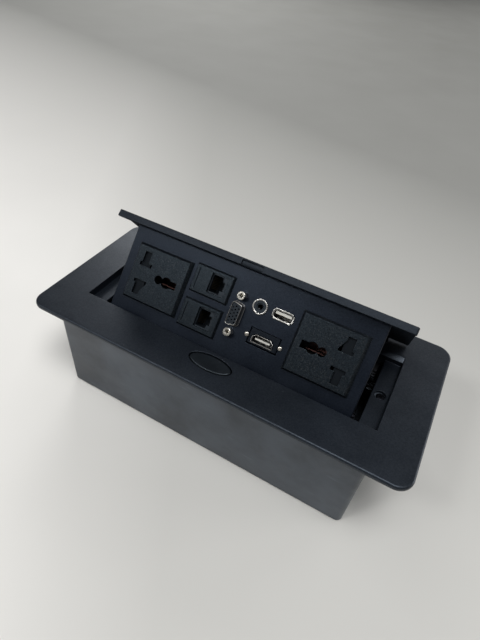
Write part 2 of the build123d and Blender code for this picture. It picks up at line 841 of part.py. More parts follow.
# Latch housing: a tray under the front border, open towards the nose
tray_z = plate_z - latch_housing_depth
tray_front = -opening_front - skirt_wall - seat_gap
tray_depth = latch_housing_rear + tray_front
with BuildPart() as latch_housing:
    with BuildSketch(Plane.XY.offset(tray_z)):
        with Locations((0, (tray_front - latch_housing_rear) / 2)):
            Rectangle(latch_housing_length, tray_depth)
    extrude(amount=latch_housing_depth)
    with BuildSketch(Plane.XY.offset(tray_z + latch_housing_wall)):
        with Locations((0, (tray_front - latch_housing_rear + latch_housing_wall) / 2)):
            Rectangle(latch_housing_length - 2 * latch_housing_wall, tray_depth - latch_housing_wall)
    extrude(amount=latch_housing_depth, mode=Mode.SUBTRACT)
    with BuildSketch(Plane.XY.offset(tray_z)):
        with Locations((0, button_y)):
            SlotOverall(latch_housing_length + 2 * latch_ear, latch_ear)
    extrude(amount=latch_housing_wall)
    with BuildSketch(Plane.XY.offset(tray_z)):
        with Locations((latch_boss_x, button_y), (-latch_boss_x, button_y)):
            Circle(latch_screw_radius + running_fit)
    extrude(amount=latch_housing_wall, mode=Mode.SUBTRACT)
    # Rails that carry the slider's plate at its height
    with BuildSketch(Plane.XY.offset(tray_z + latch_housing_wall)):
        for side in (-1, 1):
            with Locations((side * (latch_width - latch_rail / 2) / 2, (tray_front + slider_rear) / 2)):
                Rectangle(latch_rail / 2, tray_front - slider_rear - 2 * latch_rail)
    extrude(amount=plate_low - slide_gap - tray_z - latch_housing_wall)
save(latch_housing.part, "latch_housing")

group([screw(Plane(origin=(side * latch_boss_x, button_y, tray_z), z_dir=(0, 0, -1)),
             latch_screw_head_radius, latch_screw_head, latch_screw_radius,
             latch_housing_depth - latch_housing_wall) for side in (-1, 1)], "latch_housing_screws")

tray_floor = tray_z + latch_housing_wall
spring_room = top_z - button_skin - tray_floor - button_spring_wire - 2 * slide_gap
group([coil(Plane(origin=(side * button_spring_x, button_y, tray_floor + button_spring_wire / 2 + slide_gap)),
            button_spring_radius, button_spring_wire, button_spring_turns, spring_room)
       for side in (-1, 1)], "button_springs")

latch_spring_z = plate_low - latch_tail_height / 2
latch_spring_room = (latch_housing_rear - latch_housing_wall + slider_rear
                     - latch_spring_wire - 2 * slide_gap)
save(coil(Plane(origin=(0, slider_rear - latch_spring_wire / 2 - slide_gap, latch_spring_z),
                z_dir=(0, -1, 0)),
          latch_spring_radius, latch_spring_wire, latch_spring_turns, latch_spring_room), "latch_spring")

# Lid: a plate with a front lip, grooved in the middle for the latch's nose
with BuildPart() as lid:
    with BuildSketch(level(0, lid_lip_z)):
        with Locations((0, lid_mid_y)):
            RectangleRounded(lid_length, lid_depth, lid_corner)
    extrude(amount=lid_lip_height)
    chamfer(lid.faces().sort_by(Axis((0, 0, 0), swung(0, 1)))[-1].edges(), lid_edge)
    with BuildSketch(section()):
        with Locations(((lid_lip - lid_front + lid_rear) / 2, (lid_lip_z + lid_under) / 2)):
            Rectangle(lid_depth - lid_lip, lid_under - lid_lip_z)
    extrude(amount=lid_length, both=True, mode=Mode.SUBTRACT)
    with BuildSketch(section()):
        with BuildLine():
            Polyline((-lid_front, top_z - groove_top), (groove_depth - lid_front, top_z - groove_top),
                     (groove_depth - lid_front, lid_lip_z + keeper_height),
                     (keeper_step - lid_front, lid_lip_z + keeper_height),
                     (2 * keeper_step - lid_front, lid_lip_z), (-lid_front, lid_lip_z), close=True)
        make_face()
    extrude(amount=groove_length / 2, both=True, mode=Mode.SUBTRACT)
    with BuildSketch(level(0, lid_under)):
        with GridLocations(2 * lid_screw_x, 2 * lid_screw_y, 2, 2):
            Circle(module_screw_radius)
    extrude(amount=lid_screw_bite, mode=Mode.SUBTRACT)
save(lid.part, "lid")


# Outlines shared by the panel's openings and the pieces that fit them
def video_outline(grow=0.0):
    """The D-shaped outline of the video socket, its long side to the left."""
    Trapezoid(video_length + 2 * grow, video_width + 2 * grow, video_side_angle, rotation=-90)


def hdmi_outline(grow=0.0):
    """The display socket's outline, with its two upper corners cut off."""
    half, tall = hdmi_length / 2 + grow, hdmi_height / 2 + grow
    Polygon((-half, -tall), (half, -tall), (half, tall - hdmi_shoulder_drop),
            (half - hdmi_shoulder, tall), (hdmi_shoulder - half, tall),
            (-half, tall - hdmi_shoulder_drop), align=None)


# Face panel
with BuildPart() as face_panel:
    with BuildSketch(face()):
        with Locations((0, (face_high - face_low) / 2)):
            Rectangle(face_length, face_high + face_low)
    extrude(amount=-face_sheet)
    chamfer(face_panel.faces().sort_by(Axis((0, 0, 0), face_out))[-1].edges(), face_edge)
    with BuildSketch(face()):
        with Locations((socket_x, 0), (-socket_x, 0)):
            Rectangle(cover_skirt_length + 2 * slide_gap, cover_skirt_width + 2 * slide_gap)
        with Locations((network_x, 0)):
            with GridLocations(0, network_pitch, 1, 2):
                Rectangle(network_length - 2 * network_skirt_inset + 2 * slide_gap,
                          network_height - 2 * network_skirt_inset + 2 * slide_gap)
        with Locations((audio_x, audio_s)):
            Circle(audio_radius - audio_ring + slide_gap)
        with Locations((usb_x, usb_s)):
            Rectangle(usb_tube_length + 2 * slide_gap, usb_tube_height + 2 * slide_gap)
        with Locations((hdmi_plate_x, hdmi_plate_s)):
            Rectangle(hdmi_plate_length + 2 * slide_gap, hdmi_plate_height + 2 * slide_gap)
        for end in (-1, 1):
            with Locations((hdmi_plate_x + end * hdmi_screw_x, hdmi_screw_s)):
                Circle(hdmi_screw_radius + slide_gap)
        with Locations((video_x, 0)):
            with GridLocations(0, jackscrew_spacing, 1, 2):
                Circle(jackscrew_shank + slide_gap)
    extrude(amount=-face_sheet, mode=Mode.SUBTRACT)
    with BuildSketch(face(video_x)):
        video_outline(slide_gap)
    extrude(amount=-face_sheet, mode=Mode.SUBTRACT)
save(face_panel.part, "face_panel")

# Housing: a folded channel behind the panel, open towards it and at both ends
back_top = stowed_face(face_high, -face_sheet)
back_low = stowed_face(-face_low, -face_sheet)
boss_places = ((housing_rear - housing_boss_radius, lid_under - housing_boss_radius),
               (housing_rear - housing_bend, back_low[1] + housing_boss_radius))


def side_outline():
    """The module's side view behind the panel, in the closed pose."""
    Polygon((back_top[0], lid_under), (housing_rear, lid_under),
            (housing_rear, back_low[1]), (back_low[0], back_low[1]), align=None)
    fillet(vertices().sort_by_distance((housing_rear, back_low[1], 0))[0], housing_bend)


with BuildPart() as module_housing:
    with BuildSketch(section()):
        side_outline()
    extrude(amount=housing_half, both=True)
    ends = module_housing.faces().sort_by(Axis.X)
    front = module_housing.faces().sort_by(Axis((0, 0, 0), face_out))[-1]
    offset(amount=-housing_wall, openings=[ends[0], ends[-1], front])
    for side in (-1, 1):
        with BuildSketch(section(side * housing_half)):
            with Locations(*boss_places):
                Circle(housing_boss_radius)
        extrude(amount=-side * housing_boss_length)
        with BuildSketch(section(side * housing_half)):
            with Locations(*boss_places):
                Circle(module_screw_radius)
        extrude(amount=-side * module_screw_length, mode=Mode.SUBTRACT)
    with BuildSketch(level(0, lid_under - housing_wall)):
        with GridLocations(2 * lid_screw_x, 2 * lid_screw_y, 2, 2):
            Circle(module_screw_radius + running_fit)
    extrude(amount=housing_wall, mode=Mode.SUBTRACT)
    with BuildSketch(Plane(origin=opened(0, housing_rear, housing_cable_z), x_dir=(1, 0, 0),
                           z_dir=swung(1, 0))):
        with Locations((housing_cable_x, 0), (-housing_cable_x, 0)):
            Circle(housing_cable_radius)
    extrude(amount=-housing_wall, mode=Mode.SUBTRACT)
save(module_housing.part, "module_housing")

# Side plates, with the arms that reach back to the hinge line
for side, name in ((-1, "left"), (1, "right")):
    with BuildPart() as side_arm:
        with BuildSketch(section(side * housing_half)):
            side_outline()
        extrude(amount=side * side_plate)
        with BuildSketch(section(side * housing_half)):
            with BuildLine():
                CenterArc((pivot_y, pivot_z), arm_boss_radius, 0, 360)
                Line((housing_rear - housing_boss_radius, arm_root_low),
                     (housing_rear - housing_boss_radius, arm_root_high))
            make_hull()
        extrude(amount=side * side_plate)
        with BuildSketch(section(side * housing_half)):
            with Locations((pivot_y, pivot_z)):
                Circle(bush_radius + slide_gap)
            with Locations(*boss_places):
                Circle(module_screw_radius + running_fit)
        extrude(amount=side * side_plate, mode=Mode.SUBTRACT)
    save(side_arm.part, f"side_arm_{name}")

module_screws = []
for side in (-1, 1):
    for y, z in boss_places:
        module_screws.append(screw(Plane(origin=opened(side * arm_x, y, z), z_dir=(side, 0, 0)),
                                   module_screw_head_radius, module_screw_head, module_screw_radius,
                                   side_plate + module_screw_length))
group(module_screws, "module_screws")

group([screw(Plane(origin=opened(x, y, lid_under - housing_wall), z_dir=swung(0, -1)),
             module_screw_head_radius, module_screw_head, module_screw_radius,
             housing_wall + lid_screw_bite)
       for x in (-lid_screw_x, lid_screw_x) for y in (-lid_screw_y, lid_screw_y)], "lid_screws")


# Universal sockets
def socket(side, n=0.0):
    """A socket's own plane: x to its right, y up to its earth end, n in front of the panel."""
    return Plane(origin=face(side * socket_x, 0, n).origin, x_dir=face_up * side, z_dir=face_out)


def socket_side(side, r, u=0.0):
    """A plane across a socket: x up to the earth end and y out of the panel."""
    place = face(side * socket_x).origin + face_up * side * r - Vector(side * u, 0, 0)
    return Plane(origin=place, x_dir=(-side, 0, 0), z_dir=face_up * side)


def socket_end(side, u):
    """A plane across a socket: x to its right and y out of the panel."""
    place = face(side * socket_x).origin - Vector(side * u, 0, 0)
    return Plane(origin=place, x_dir=face_up * side, z_dir=(side, 0, 0))


def pin_apertures():
    """The openings in the cover: two for the flat pins and one for the earth pin."""
    for end in (-1, 1):
        with Locations((end * slot_r, slot_u)):
            Rectangle(slot_width, slot_height)
        with Locations((end * blade_r, blade_u)):
            Rectangle(blade_width, blade_height)
    inner = blade_r - blade_width / 2
    shoulder = slot_u + slot_height / 2
    Polygon((inner, shoulder), (inner + wedge_reach, shoulder), (blade_r, shoulder + wedge_rise),
            (inner, shoulder + wedge_rise), align=None)
    with Locations((0, earth_slot_u)):
        Rectangle(earth_slot_width, earth_slot_height)
    with Locations((0, earth_round_u)):
        Circle(earth_round_radius)
    with Locations((0, earth_small_u)):
        Circle(earth_small_radius)


pocket_width = slot_width + 2 * pocket_margin
pocket_height = blade_height + 2 * pocket_margin
earth_low = earth_small_u - earth_small_radius
earth_high = earth_slot_u + earth_slot_height / 2
earth_pocket_height = earth_high - earth_low + 2 * pocket_margin
earth_pocket_u = (earth_high + earth_low) / 2
earth_pocket_width = 2 * earth_round_radius + pocket_margin


def socket_cover(side):
    """The bevelled front moulding with its skirt, hollow behind its face."""
    with BuildPart() as cover:
        with BuildSketch(socket(side)):
            Rectangle(cover_width, cover_length)
        with BuildSketch(socket(side, cover_raise)):
            Rectangle(cover_top_width, cover_top_length)
        loft(ruled=True)
        with BuildSketch(socket(side)):
            Rectangle(cover_skirt_width, cover_skirt_length)
        extrude(amount=-cover_skirt)
        with BuildSketch(socket(side, cover_raise - cover_face)):
            Rectangle(cover_skirt_width - 2 * cover_wall, cover_skirt_length - 2 * cover_wall)
        extrude(amount=cover_face - cover_raise - cover_skirt, mode=Mode.SUBTRACT)
        with BuildSketch(socket(side, cover_raise - cover_face)):
            pin_apertures()
        extrude(amount=cover_face, mode=Mode.SUBTRACT)
    return cover.part


socket_front = cover_raise - cover_face - shutter_thickness - 2 * slide_gap
tail_thickness = 2 * contact_sheet
shutter_low = cover_wall + shutter_end_gap - cover_skirt_length / 2
shutter_high = shutter_low + shutter_length
shutter_outer = cover_skirt_width / 2 - cover_wall - shutter_side_gap


def socket_body(side):
    """The insulating block behind the cover, with a pocket for each contact."""
    with BuildPart() as body:
        with BuildSketch(socket(side, socket_front)):
            Rectangle(cover_skirt_width - 2 * cover_wall - 2 * slide_gap,
                      cover_skirt_length - 2 * cover_wall - 2 * slide_gap)
        extrude(amount=-socket_depth)
        with BuildSketch(socket(side, socket_front)):
            with Locations((-slot_r, blade_u), (slot_r, blade_u)):
                Rectangle(pocket_width, pocket_height)
            with Locations((0, earth_pocket_u)):
                Rectangle(earth_pocket_width, earth_pocket_height)
        extrude(amount=-pocket_depth, mode=Mode.SUBTRACT)
        with BuildSketch(socket(side, socket_front)):
            with Locations((-slot_r, slot_u), (slot_r, slot_u)):
                Rectangle(tail_width + 2 * slide_gap, tail_thickness + 2 * slide_gap)
            with Locations((0, earth_contact_u)):
                Rectangle(tail_thickness + 2 * slide_gap, tail_width + 2 * slide_gap)
        extrude(amount=-socket_depth, mode=Mode.SUBTRACT)
    return body.part


contact_foot = socket_front - pocket_depth


def contact(plane, length):
    """A folded brass clip: two leaves, the web between them and a tail through the block."""
    half = contact_grip / 2 + contact_sheet
    with BuildPart() as clip:
        with BuildSketch(plane):
            with BuildLine():
                Polyline((-half, contact_foot), (half, contact_foot),
                         (half, contact_foot + contact_length),
                         (contact_grip / 2, contact_foot + contact_length),
                         (contact_grip / 2, contact_foot + contact_sheet),
                         (-contact_grip / 2, contact_foot + contact_sheet),
                         (-contact_grip / 2, contact_foot + contact_length),
                         (-half, contact_foot + contact_length), close=True)
            make_face()
        extrude(amount=length / 2, both=True)
        with BuildSketch(plane):
            with Locations((0, contact_foot - (socket_depth - pocket_depth + tail_length) / 2)):
                Rectangle(tail_thickness, socket_depth - pocket_depth + tail_length)
        extrude(amount=tail_width / 2, both=True)
    return clip.part


def shutter(side):
    """The sprung slide that closes the two pin apertures."""
    with BuildPart() as slide:
        with BuildSketch(socket(side, cover_raise - cover_face - slide_gap)):
            with Locations((0, (shutter_low + shutter_high) / 2)):
                Rectangle(2 * shutter_outer, shutter_high - shutter_low)
            with Locations((0, (shutter_low + shutter_bridge + shutter_high) / 2)):
                Rectangle(2 * shutter_inner, shutter_high - shutter_low - shutter_bridge,
                          mode=Mode.SUBTRACT)
        extrude(amount=-shutter_thickness)
    return slide.part


for side, name in ((-1, "left"), (1, "right")):
    save(socket_cover(side), f"socket_{name}_cover")
    save(socket_body(side), f"socket_{name}_body")
    group([contact(socket_side(side, end * slot_r, slot_u), contact_width) for end in (-1, 1)]
          + [contact(socket_end(side, earth_contact_u), earth_contact_length)],
          f"socket_{name}_contacts")
    save(shutter(side), f"socket_{name}_shutter")
    spring_low = shutter_low + shutter_bridge + shutter_spring_wire / 2 + slide_gap
    spring_high = earth_low - pocket_margin - shutter_spring_wire / 2 - slide_gap
    spring_n = cover_raise - cover_face - slide_gap - shutter_thickness / 2
    spring_seat = Plane(origin=face(side * (socket_x - spring_low), 0, spring_n).origin,
                        x_dir=face_up, z_dir=(-side, 0, 0))
    save(coil(spring_seat, shutter_spring_radius - shutter_spring_wire / 2, shutter_spring_wire,
              shutter_spring_turns, spring_high - spring_low), f"socket_{name}_shutter_spring")


# Network modules
def network_bezel(s):
    """A bevelled front with a window, a label line and a block that drops into the panel."""
    with BuildPart() as bezel:
        with BuildSketch(face(network_x, s)):
            Rectangle(network_length, network_height)
        with BuildSketch(face(network_x, s, network_raise)):
            Rectangle(network_length - 2 * network_bevel, network_height - 2 * network_bevel)
        loft(ruled=True)
        with BuildSketch(face(network_x, s)):
            Rectangle(network_length - 2 * network_skirt_inset, network_height - 2 * network_skirt_inset)
        extrude(amount=-network_skirt)
        with BuildSketch(face(network_x, s, network_raise)):
            with Locations((window_x, window_s)):
                Rectangle(window_width, window_height)
        extrude(amount=-network_raise - network_skirt, mode=Mode.SUBTRACT)
        with BuildSketch(face(network_x, s, network_raise)):
            with Locations((groove_line_x, 0)):
                Rectangle(groove_line_width, groove_line_height)
        extrude(amount=-groove_line_depth, mode=Mode.SUBTRACT)
    return bezel.part


def network_jack(s):
    """The jack behind a window, turned on its side, with its latch notch to the right."""
    with BuildPart() as jack:
        with BuildSketch(face(network_x + window_x, s + window_s, jack_proud)):
            Rectangle(window_width - 2 * slide_gap, window_height - 2 * slide_gap)
        extrude(amount=-jack_depth)
        with BuildSketch(face(network_x + window_x, s + window_s, -network_skirt)):
            Rectangle(window_width + 2 * jack_shoulder, window_height + 2 * jack_shoulder)
        extrude(amount=network_skirt + jack_proud - jack_depth)
        with BuildSketch(face(network_x + window_x, s + window_s, jack_proud)):
            with Locations(((jack_mouth_left + jack_mouth_right) / 2, 0)):
                Rectangle(jack_mouth_right - jack_mouth_left, jack_mouth_height)
            with Locations((jack_mouth_right + jack_notch / 2, 0)):
                Rectangle(jack_notch, jack_notch_height)
        extrude(amount=-jack_mouth_depth, mode=Mode.SUBTRACT)
    return jack.part


def network_wires(s):
    """Eight slanting contact wires along the left of a jack's mouth."""
    wires = []
    for index in range(wire_count):
        across = s + window_s + (index - (wire_count - 1) / 2) * wire_pitch
        foot = network_x + window_x + jack_mouth_left
        place = face(foot, across, jack_proud).origin
        with BuildPart() as wire:
            with BuildSketch(Plane(origin=place, x_dir=(1, 0, 0), z_dir=-face_up)):
                with BuildLine():
                    Polyline((0, -wire_in), (wire_lean, -wire_in - wire_run),
                             (wire_lean, -wire_in - wire_run - wire_width),
                             (0, -wire_in - 2 * wire_width), close=True)
                make_face()
            extrude(amount=wire_width / 2, both=True)
        wires.append(wire.part)
    return wires


for s, name in ((network_pitch / 2, "upper"), (-network_pitch / 2, "lower")):
    save(network_bezel(s), f"network_{name}_bezel")
    save(network_jack(s), f"network_{name}_jack")
    group(network_wires(s), f"network_{name}_wires")

# Video socket
with BuildPart() as video_shell:
    with BuildSketch(face(video_x, 0, video_proud)):
        video_outline()
        fillet(vertices(), video_corner)
    extrude(amount=-video_proud - face_sheet - video_flange)
    with BuildSketch(face(video_x)):
        video_outline(video_flare)
        fillet(vertices(), video_corner + video_flare)
    extrude(amount=video_flare_height)
    with BuildSketch(face(video_x, 0, -face_sheet)):
        Rectangle(video_flange_width, video_flange_length)
        with GridLocations(0, jackscrew_spacing, 1, 2):
            Circle(jackscrew_shank + running_fit, mode=Mode.SUBTRACT)
    extrude(amount=-video_flange)
    with BuildSketch(face(video_x, 0, video_proud)):
        video_outline(-video_wall)
        fillet(vertices(), video_corner - video_wall)
    extrude(amount=-video_proud - face_sheet - video_flange, mode=Mode.SUBTRACT)
save(video_shell.part, "video_shell")

with BuildPart() as video_insert:
    with BuildSketch(face(video_x, 0, video_proud - video_inset)):
        video_outline(-video_wall - slide_gap)
        fillet(vertices(), video_corner - video_wall)
    extrude(amount=video_inset - video_proud - face_sheet - video_flange)
    with BuildSketch(face(video_x, 0, -face_sheet - video_flange)):
        Rectangle(video_flange_width - 2 * video_wall, video_back_length)
    extrude(amount=-video_back_depth)
    with BuildSketch(face(video_x, 0, video_proud - video_inset)):
        for column in (-1, 0, 1):
            offset_s = video_stagger if column == 0 else -video_stagger
            with Locations((column * video_row_pitch, offset_s)):
                with GridLocations(0, video_hole_pitch, 1, 5):
                    Circle(video_hole_radius)
    extrude(amount=-video_hole_depth, mode=Mode.SUBTRACT)
save(video_insert.part, "video_insert")

jackscrews = []
for end in (-1, 1):
    seat = face(video_x, end * jackscrew_spacing / 2)
    with BuildPart() as jackscrew:
        with BuildSketch(seat):
            RegularPolygon(jackscrew_radius, 6)
        extrude(amount=jackscrew_proud)
        chamfer(jackscrew.faces().sort_by(Axis((0, 0, 0), face_out))[-1].edges(), jackscrew_chamfer)
        with BuildSketch(seat):
            Circle(jackscrew_shank)
        extrude(amount=-jackscrew_length)
        with BuildSketch(seat.offset(jackscrew_proud)):
            Circle(jackscrew_bore)
        extrude(amount=-jackscrew_bore_depth, mode=Mode.SUBTRACT)
    jackscrews.append(jackscrew.part)
group(jackscrews, "video_jackscrews")

# Audio jack
with BuildPart() as audio_bezel:
    with BuildSketch(face(audio_x, audio_s)):
        Circle(audio_radius)
        Circle(audio_radius - audio_ring, mode=Mode.SUBTRACT)
    extrude(amount=audio_proud)
    chamfer(audio_bezel.faces().sort_by(Axis((0, 0, 0), face_out))[-1].edges(), audio_chamfer)
save(audio_bezel.part, "audio_bezel")

with BuildPart() as audio_jack:
    with BuildSketch(face(audio_x, audio_s, audio_proud / 2)):
        Circle(audio_radius - audio_ring)
    extrude(amount=-audio_proud / 2 - face_sheet)
    with BuildSketch(face(audio_x, audio_s, -face_sheet)):
        Rectangle(audio_body, audio_body)
    extrude(amount=face_sheet - audio_depth)
    with BuildSketch(face(audio_x, audio_s, audio_proud / 2)):
        Circle(audio_bore + audio_mouth)
    extrude(amount=-audio_mouth, mode=Mode.SUBTRACT)
    with BuildSketch(face(audio_x, audio_s, audio_proud / 2)):
        Circle(audio_bore)
    extrude(amount=-audio_bore_depth, mode=Mode.SUBTRACT)
save(audio_jack.part, "audio_jack")

# Charging socket
with BuildPart() as usb_shell:
    with BuildSketch(face(usb_x, usb_s)):
        Rectangle(usb_length, usb_height)
        chamfer(vertices(), usb_corner)
    extrude(amount=usb_proud)
    with BuildSketch(face(usb_x, usb_s)):
        Rectangle(usb_tube_length, usb_tube_height)
    extrude(amount=-usb_depth)
    with BuildSketch(face(usb_x, usb_s, usb_proud)):
        Rectangle(usb_tube_length - 2 * usb_wall, usb_tube_height - 2 * usb_wall)
    extrude(amount=-usb_proud - usb_depth, mode=Mode.SUBTRACT)
save(usb_shell.part, "usb_shell")

with BuildPart() as usb_tongue:
    with BuildSketch(face(usb_x, usb_s, -usb_depth)):
        Rectangle(usb_tube_length - 2 * usb_wall, usb_tube_height - 2 * usb_wall)
    extrude(amount=usb_tongue_back)
    with BuildSketch(face(usb_x, usb_s + usb_tongue_s, -usb_depth)):
        Rectangle(usb_tongue_length, usb_tongue_height)
    extrude(amount=usb_depth - usb_tongue_in)
save(usb_tongue.part, "usb_tongue")

# Display socket
hdmi_centre = face(hdmi_x, hdmi_s)
with BuildPart() as hdmi_plate:
    with BuildSketch(face(hdmi_plate_x, hdmi_plate_s, -hdmi_plate_recess)):
        Rectangle(hdmi_plate_length, hdmi_plate_height)
    extrude(amount=hdmi_plate_recess - face_sheet)
    with BuildSketch(face(hdmi_plate_x, hdmi_plate_s, -face_sheet)):
        Rectangle(hdmi_back_length, hdmi_plate_height)
    extrude(amount=-hdmi_back)
    with BuildSketch(hdmi_centre):
        hdmi_outline(slide_gap)
    extrude(amount=-face_sheet - hdmi_back, mode=Mode.SUBTRACT)
    with BuildSketch(face()):
        for end in (-1, 1):
            with Locations((hdmi_plate_x + end * hdmi_screw_x, hdmi_screw_s)):
                Circle(hdmi_screw_radius + running_fit)
    extrude(amount=-face_sheet - hdmi_back, mode=Mode.SUBTRACT)
save(hdmi_plate.part, "hdmi_plate")

with BuildPart() as hdmi_shell:
    with BuildSketch(hdmi_centre.offset(-slide_gap)):
        hdmi_outline()
    extrude(amount=slide_gap - hdmi_depth)
    with BuildSketch(hdmi_centre.offset(-slide_gap)):
        hdmi_outline(-hdmi_wall)
    extrude(amount=slide_gap - hdmi_depth, mode=Mode.SUBTRACT)
save(hdmi_shell.part, "hdmi_shell")

with BuildPart() as hdmi_tongue:
    with BuildSketch(hdmi_centre.offset(-hdmi_depth)):
        hdmi_outline(-hdmi_wall)
    extrude(amount=hdmi_tongue_back)
    with BuildSketch(hdmi_centre.offset(-hdmi_depth)):
        Rectangle(hdmi_tongue_length, hdmi_tongue_height)
    extrude(amount=hdmi_depth - hdmi_tongue_in)
save(hdmi_tongue.part, "hdmi_tongue")

group([screw(face(hdmi_plate_x + end * hdmi_screw_x, hdmi_screw_s), hdmi_screw_head_radius,
             hdmi_screw_head, hdmi_screw_radius, hdmi_screw_length) for end in (-1, 1)], "hdmi_screws")
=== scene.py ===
"""Looks for the pop up desk socket: finishes, worked edges and the small metal details of its ports."""
import json
from math import cos, pi, radians, sin

import bmesh
import bpy
from mathutils import Euler, Matrix, Vector
from mathutils.geometry import tessellate_polygon

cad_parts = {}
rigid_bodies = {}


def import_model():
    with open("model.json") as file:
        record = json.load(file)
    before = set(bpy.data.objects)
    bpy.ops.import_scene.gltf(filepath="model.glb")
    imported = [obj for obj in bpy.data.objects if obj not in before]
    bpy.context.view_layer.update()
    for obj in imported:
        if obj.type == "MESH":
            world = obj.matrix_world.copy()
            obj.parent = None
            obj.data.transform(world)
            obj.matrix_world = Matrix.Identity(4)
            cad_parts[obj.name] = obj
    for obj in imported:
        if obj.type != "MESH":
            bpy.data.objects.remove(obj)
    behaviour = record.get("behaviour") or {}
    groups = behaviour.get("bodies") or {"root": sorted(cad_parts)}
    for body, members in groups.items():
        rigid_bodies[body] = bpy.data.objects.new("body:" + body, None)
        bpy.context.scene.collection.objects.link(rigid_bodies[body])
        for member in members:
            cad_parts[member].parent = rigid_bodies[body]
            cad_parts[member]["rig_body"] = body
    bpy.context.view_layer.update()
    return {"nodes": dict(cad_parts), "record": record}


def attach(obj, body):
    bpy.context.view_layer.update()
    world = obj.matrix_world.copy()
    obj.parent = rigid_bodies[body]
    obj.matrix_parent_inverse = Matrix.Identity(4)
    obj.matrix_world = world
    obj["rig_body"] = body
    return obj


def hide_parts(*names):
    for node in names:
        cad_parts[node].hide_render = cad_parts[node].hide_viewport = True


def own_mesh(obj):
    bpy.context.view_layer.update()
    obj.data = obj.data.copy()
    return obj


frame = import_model()
nodes = frame["nodes"]
slot_of = {part["node"]: part["material_slot"] for part in frame["record"]["subparts"]}

# Shapes are written in millimetres, and the scene is in metres
MM = 0.001
SIDES = (("left", -1), ("right", 1))

# The record's bodies that the new pieces ride on
BASE = "base"
MODULE = "flip_module"

# The face panel at rest: its tilt, its middle, the way up along it and the way out of it
FACE_TILT = radians(50.4)
FACE_MIDDLE = Vector((0.0, -9.205, 88.172)) * MM
FACE_UP = Vector((0.0, cos(FACE_TILT), sin(FACE_TILT)))
FACE_OUT = Vector((0.0, -sin(FACE_TILT), cos(FACE_TILT)))

# Where the ports sit on it, across and up from its middle
VIDEO_X, VIDEO_S = -0.35, 0.0
AUDIO_X, AUDIO_S = 13.0, 10.4
CHARGING_X, CHARGING_S = 29.2, 10.5
DISPLAY_X, DISPLAY_S = 22.6, -9.7


def face_matrix(x, s, n=0.0):
    """Places a piece built in millimetres, with its Z axis out of the face panel."""
    turn = Matrix((Vector((1, 0, 0)), FACE_UP, FACE_OUT)).transposed().to_4x4()
    place = FACE_MIDDLE + Vector((x * MM, 0, 0)) + FACE_UP * (s * MM) + FACE_OUT * (n * MM)
    return Matrix.Translation(place) @ turn @ Matrix.Scale(MM, 4)


# Finishes

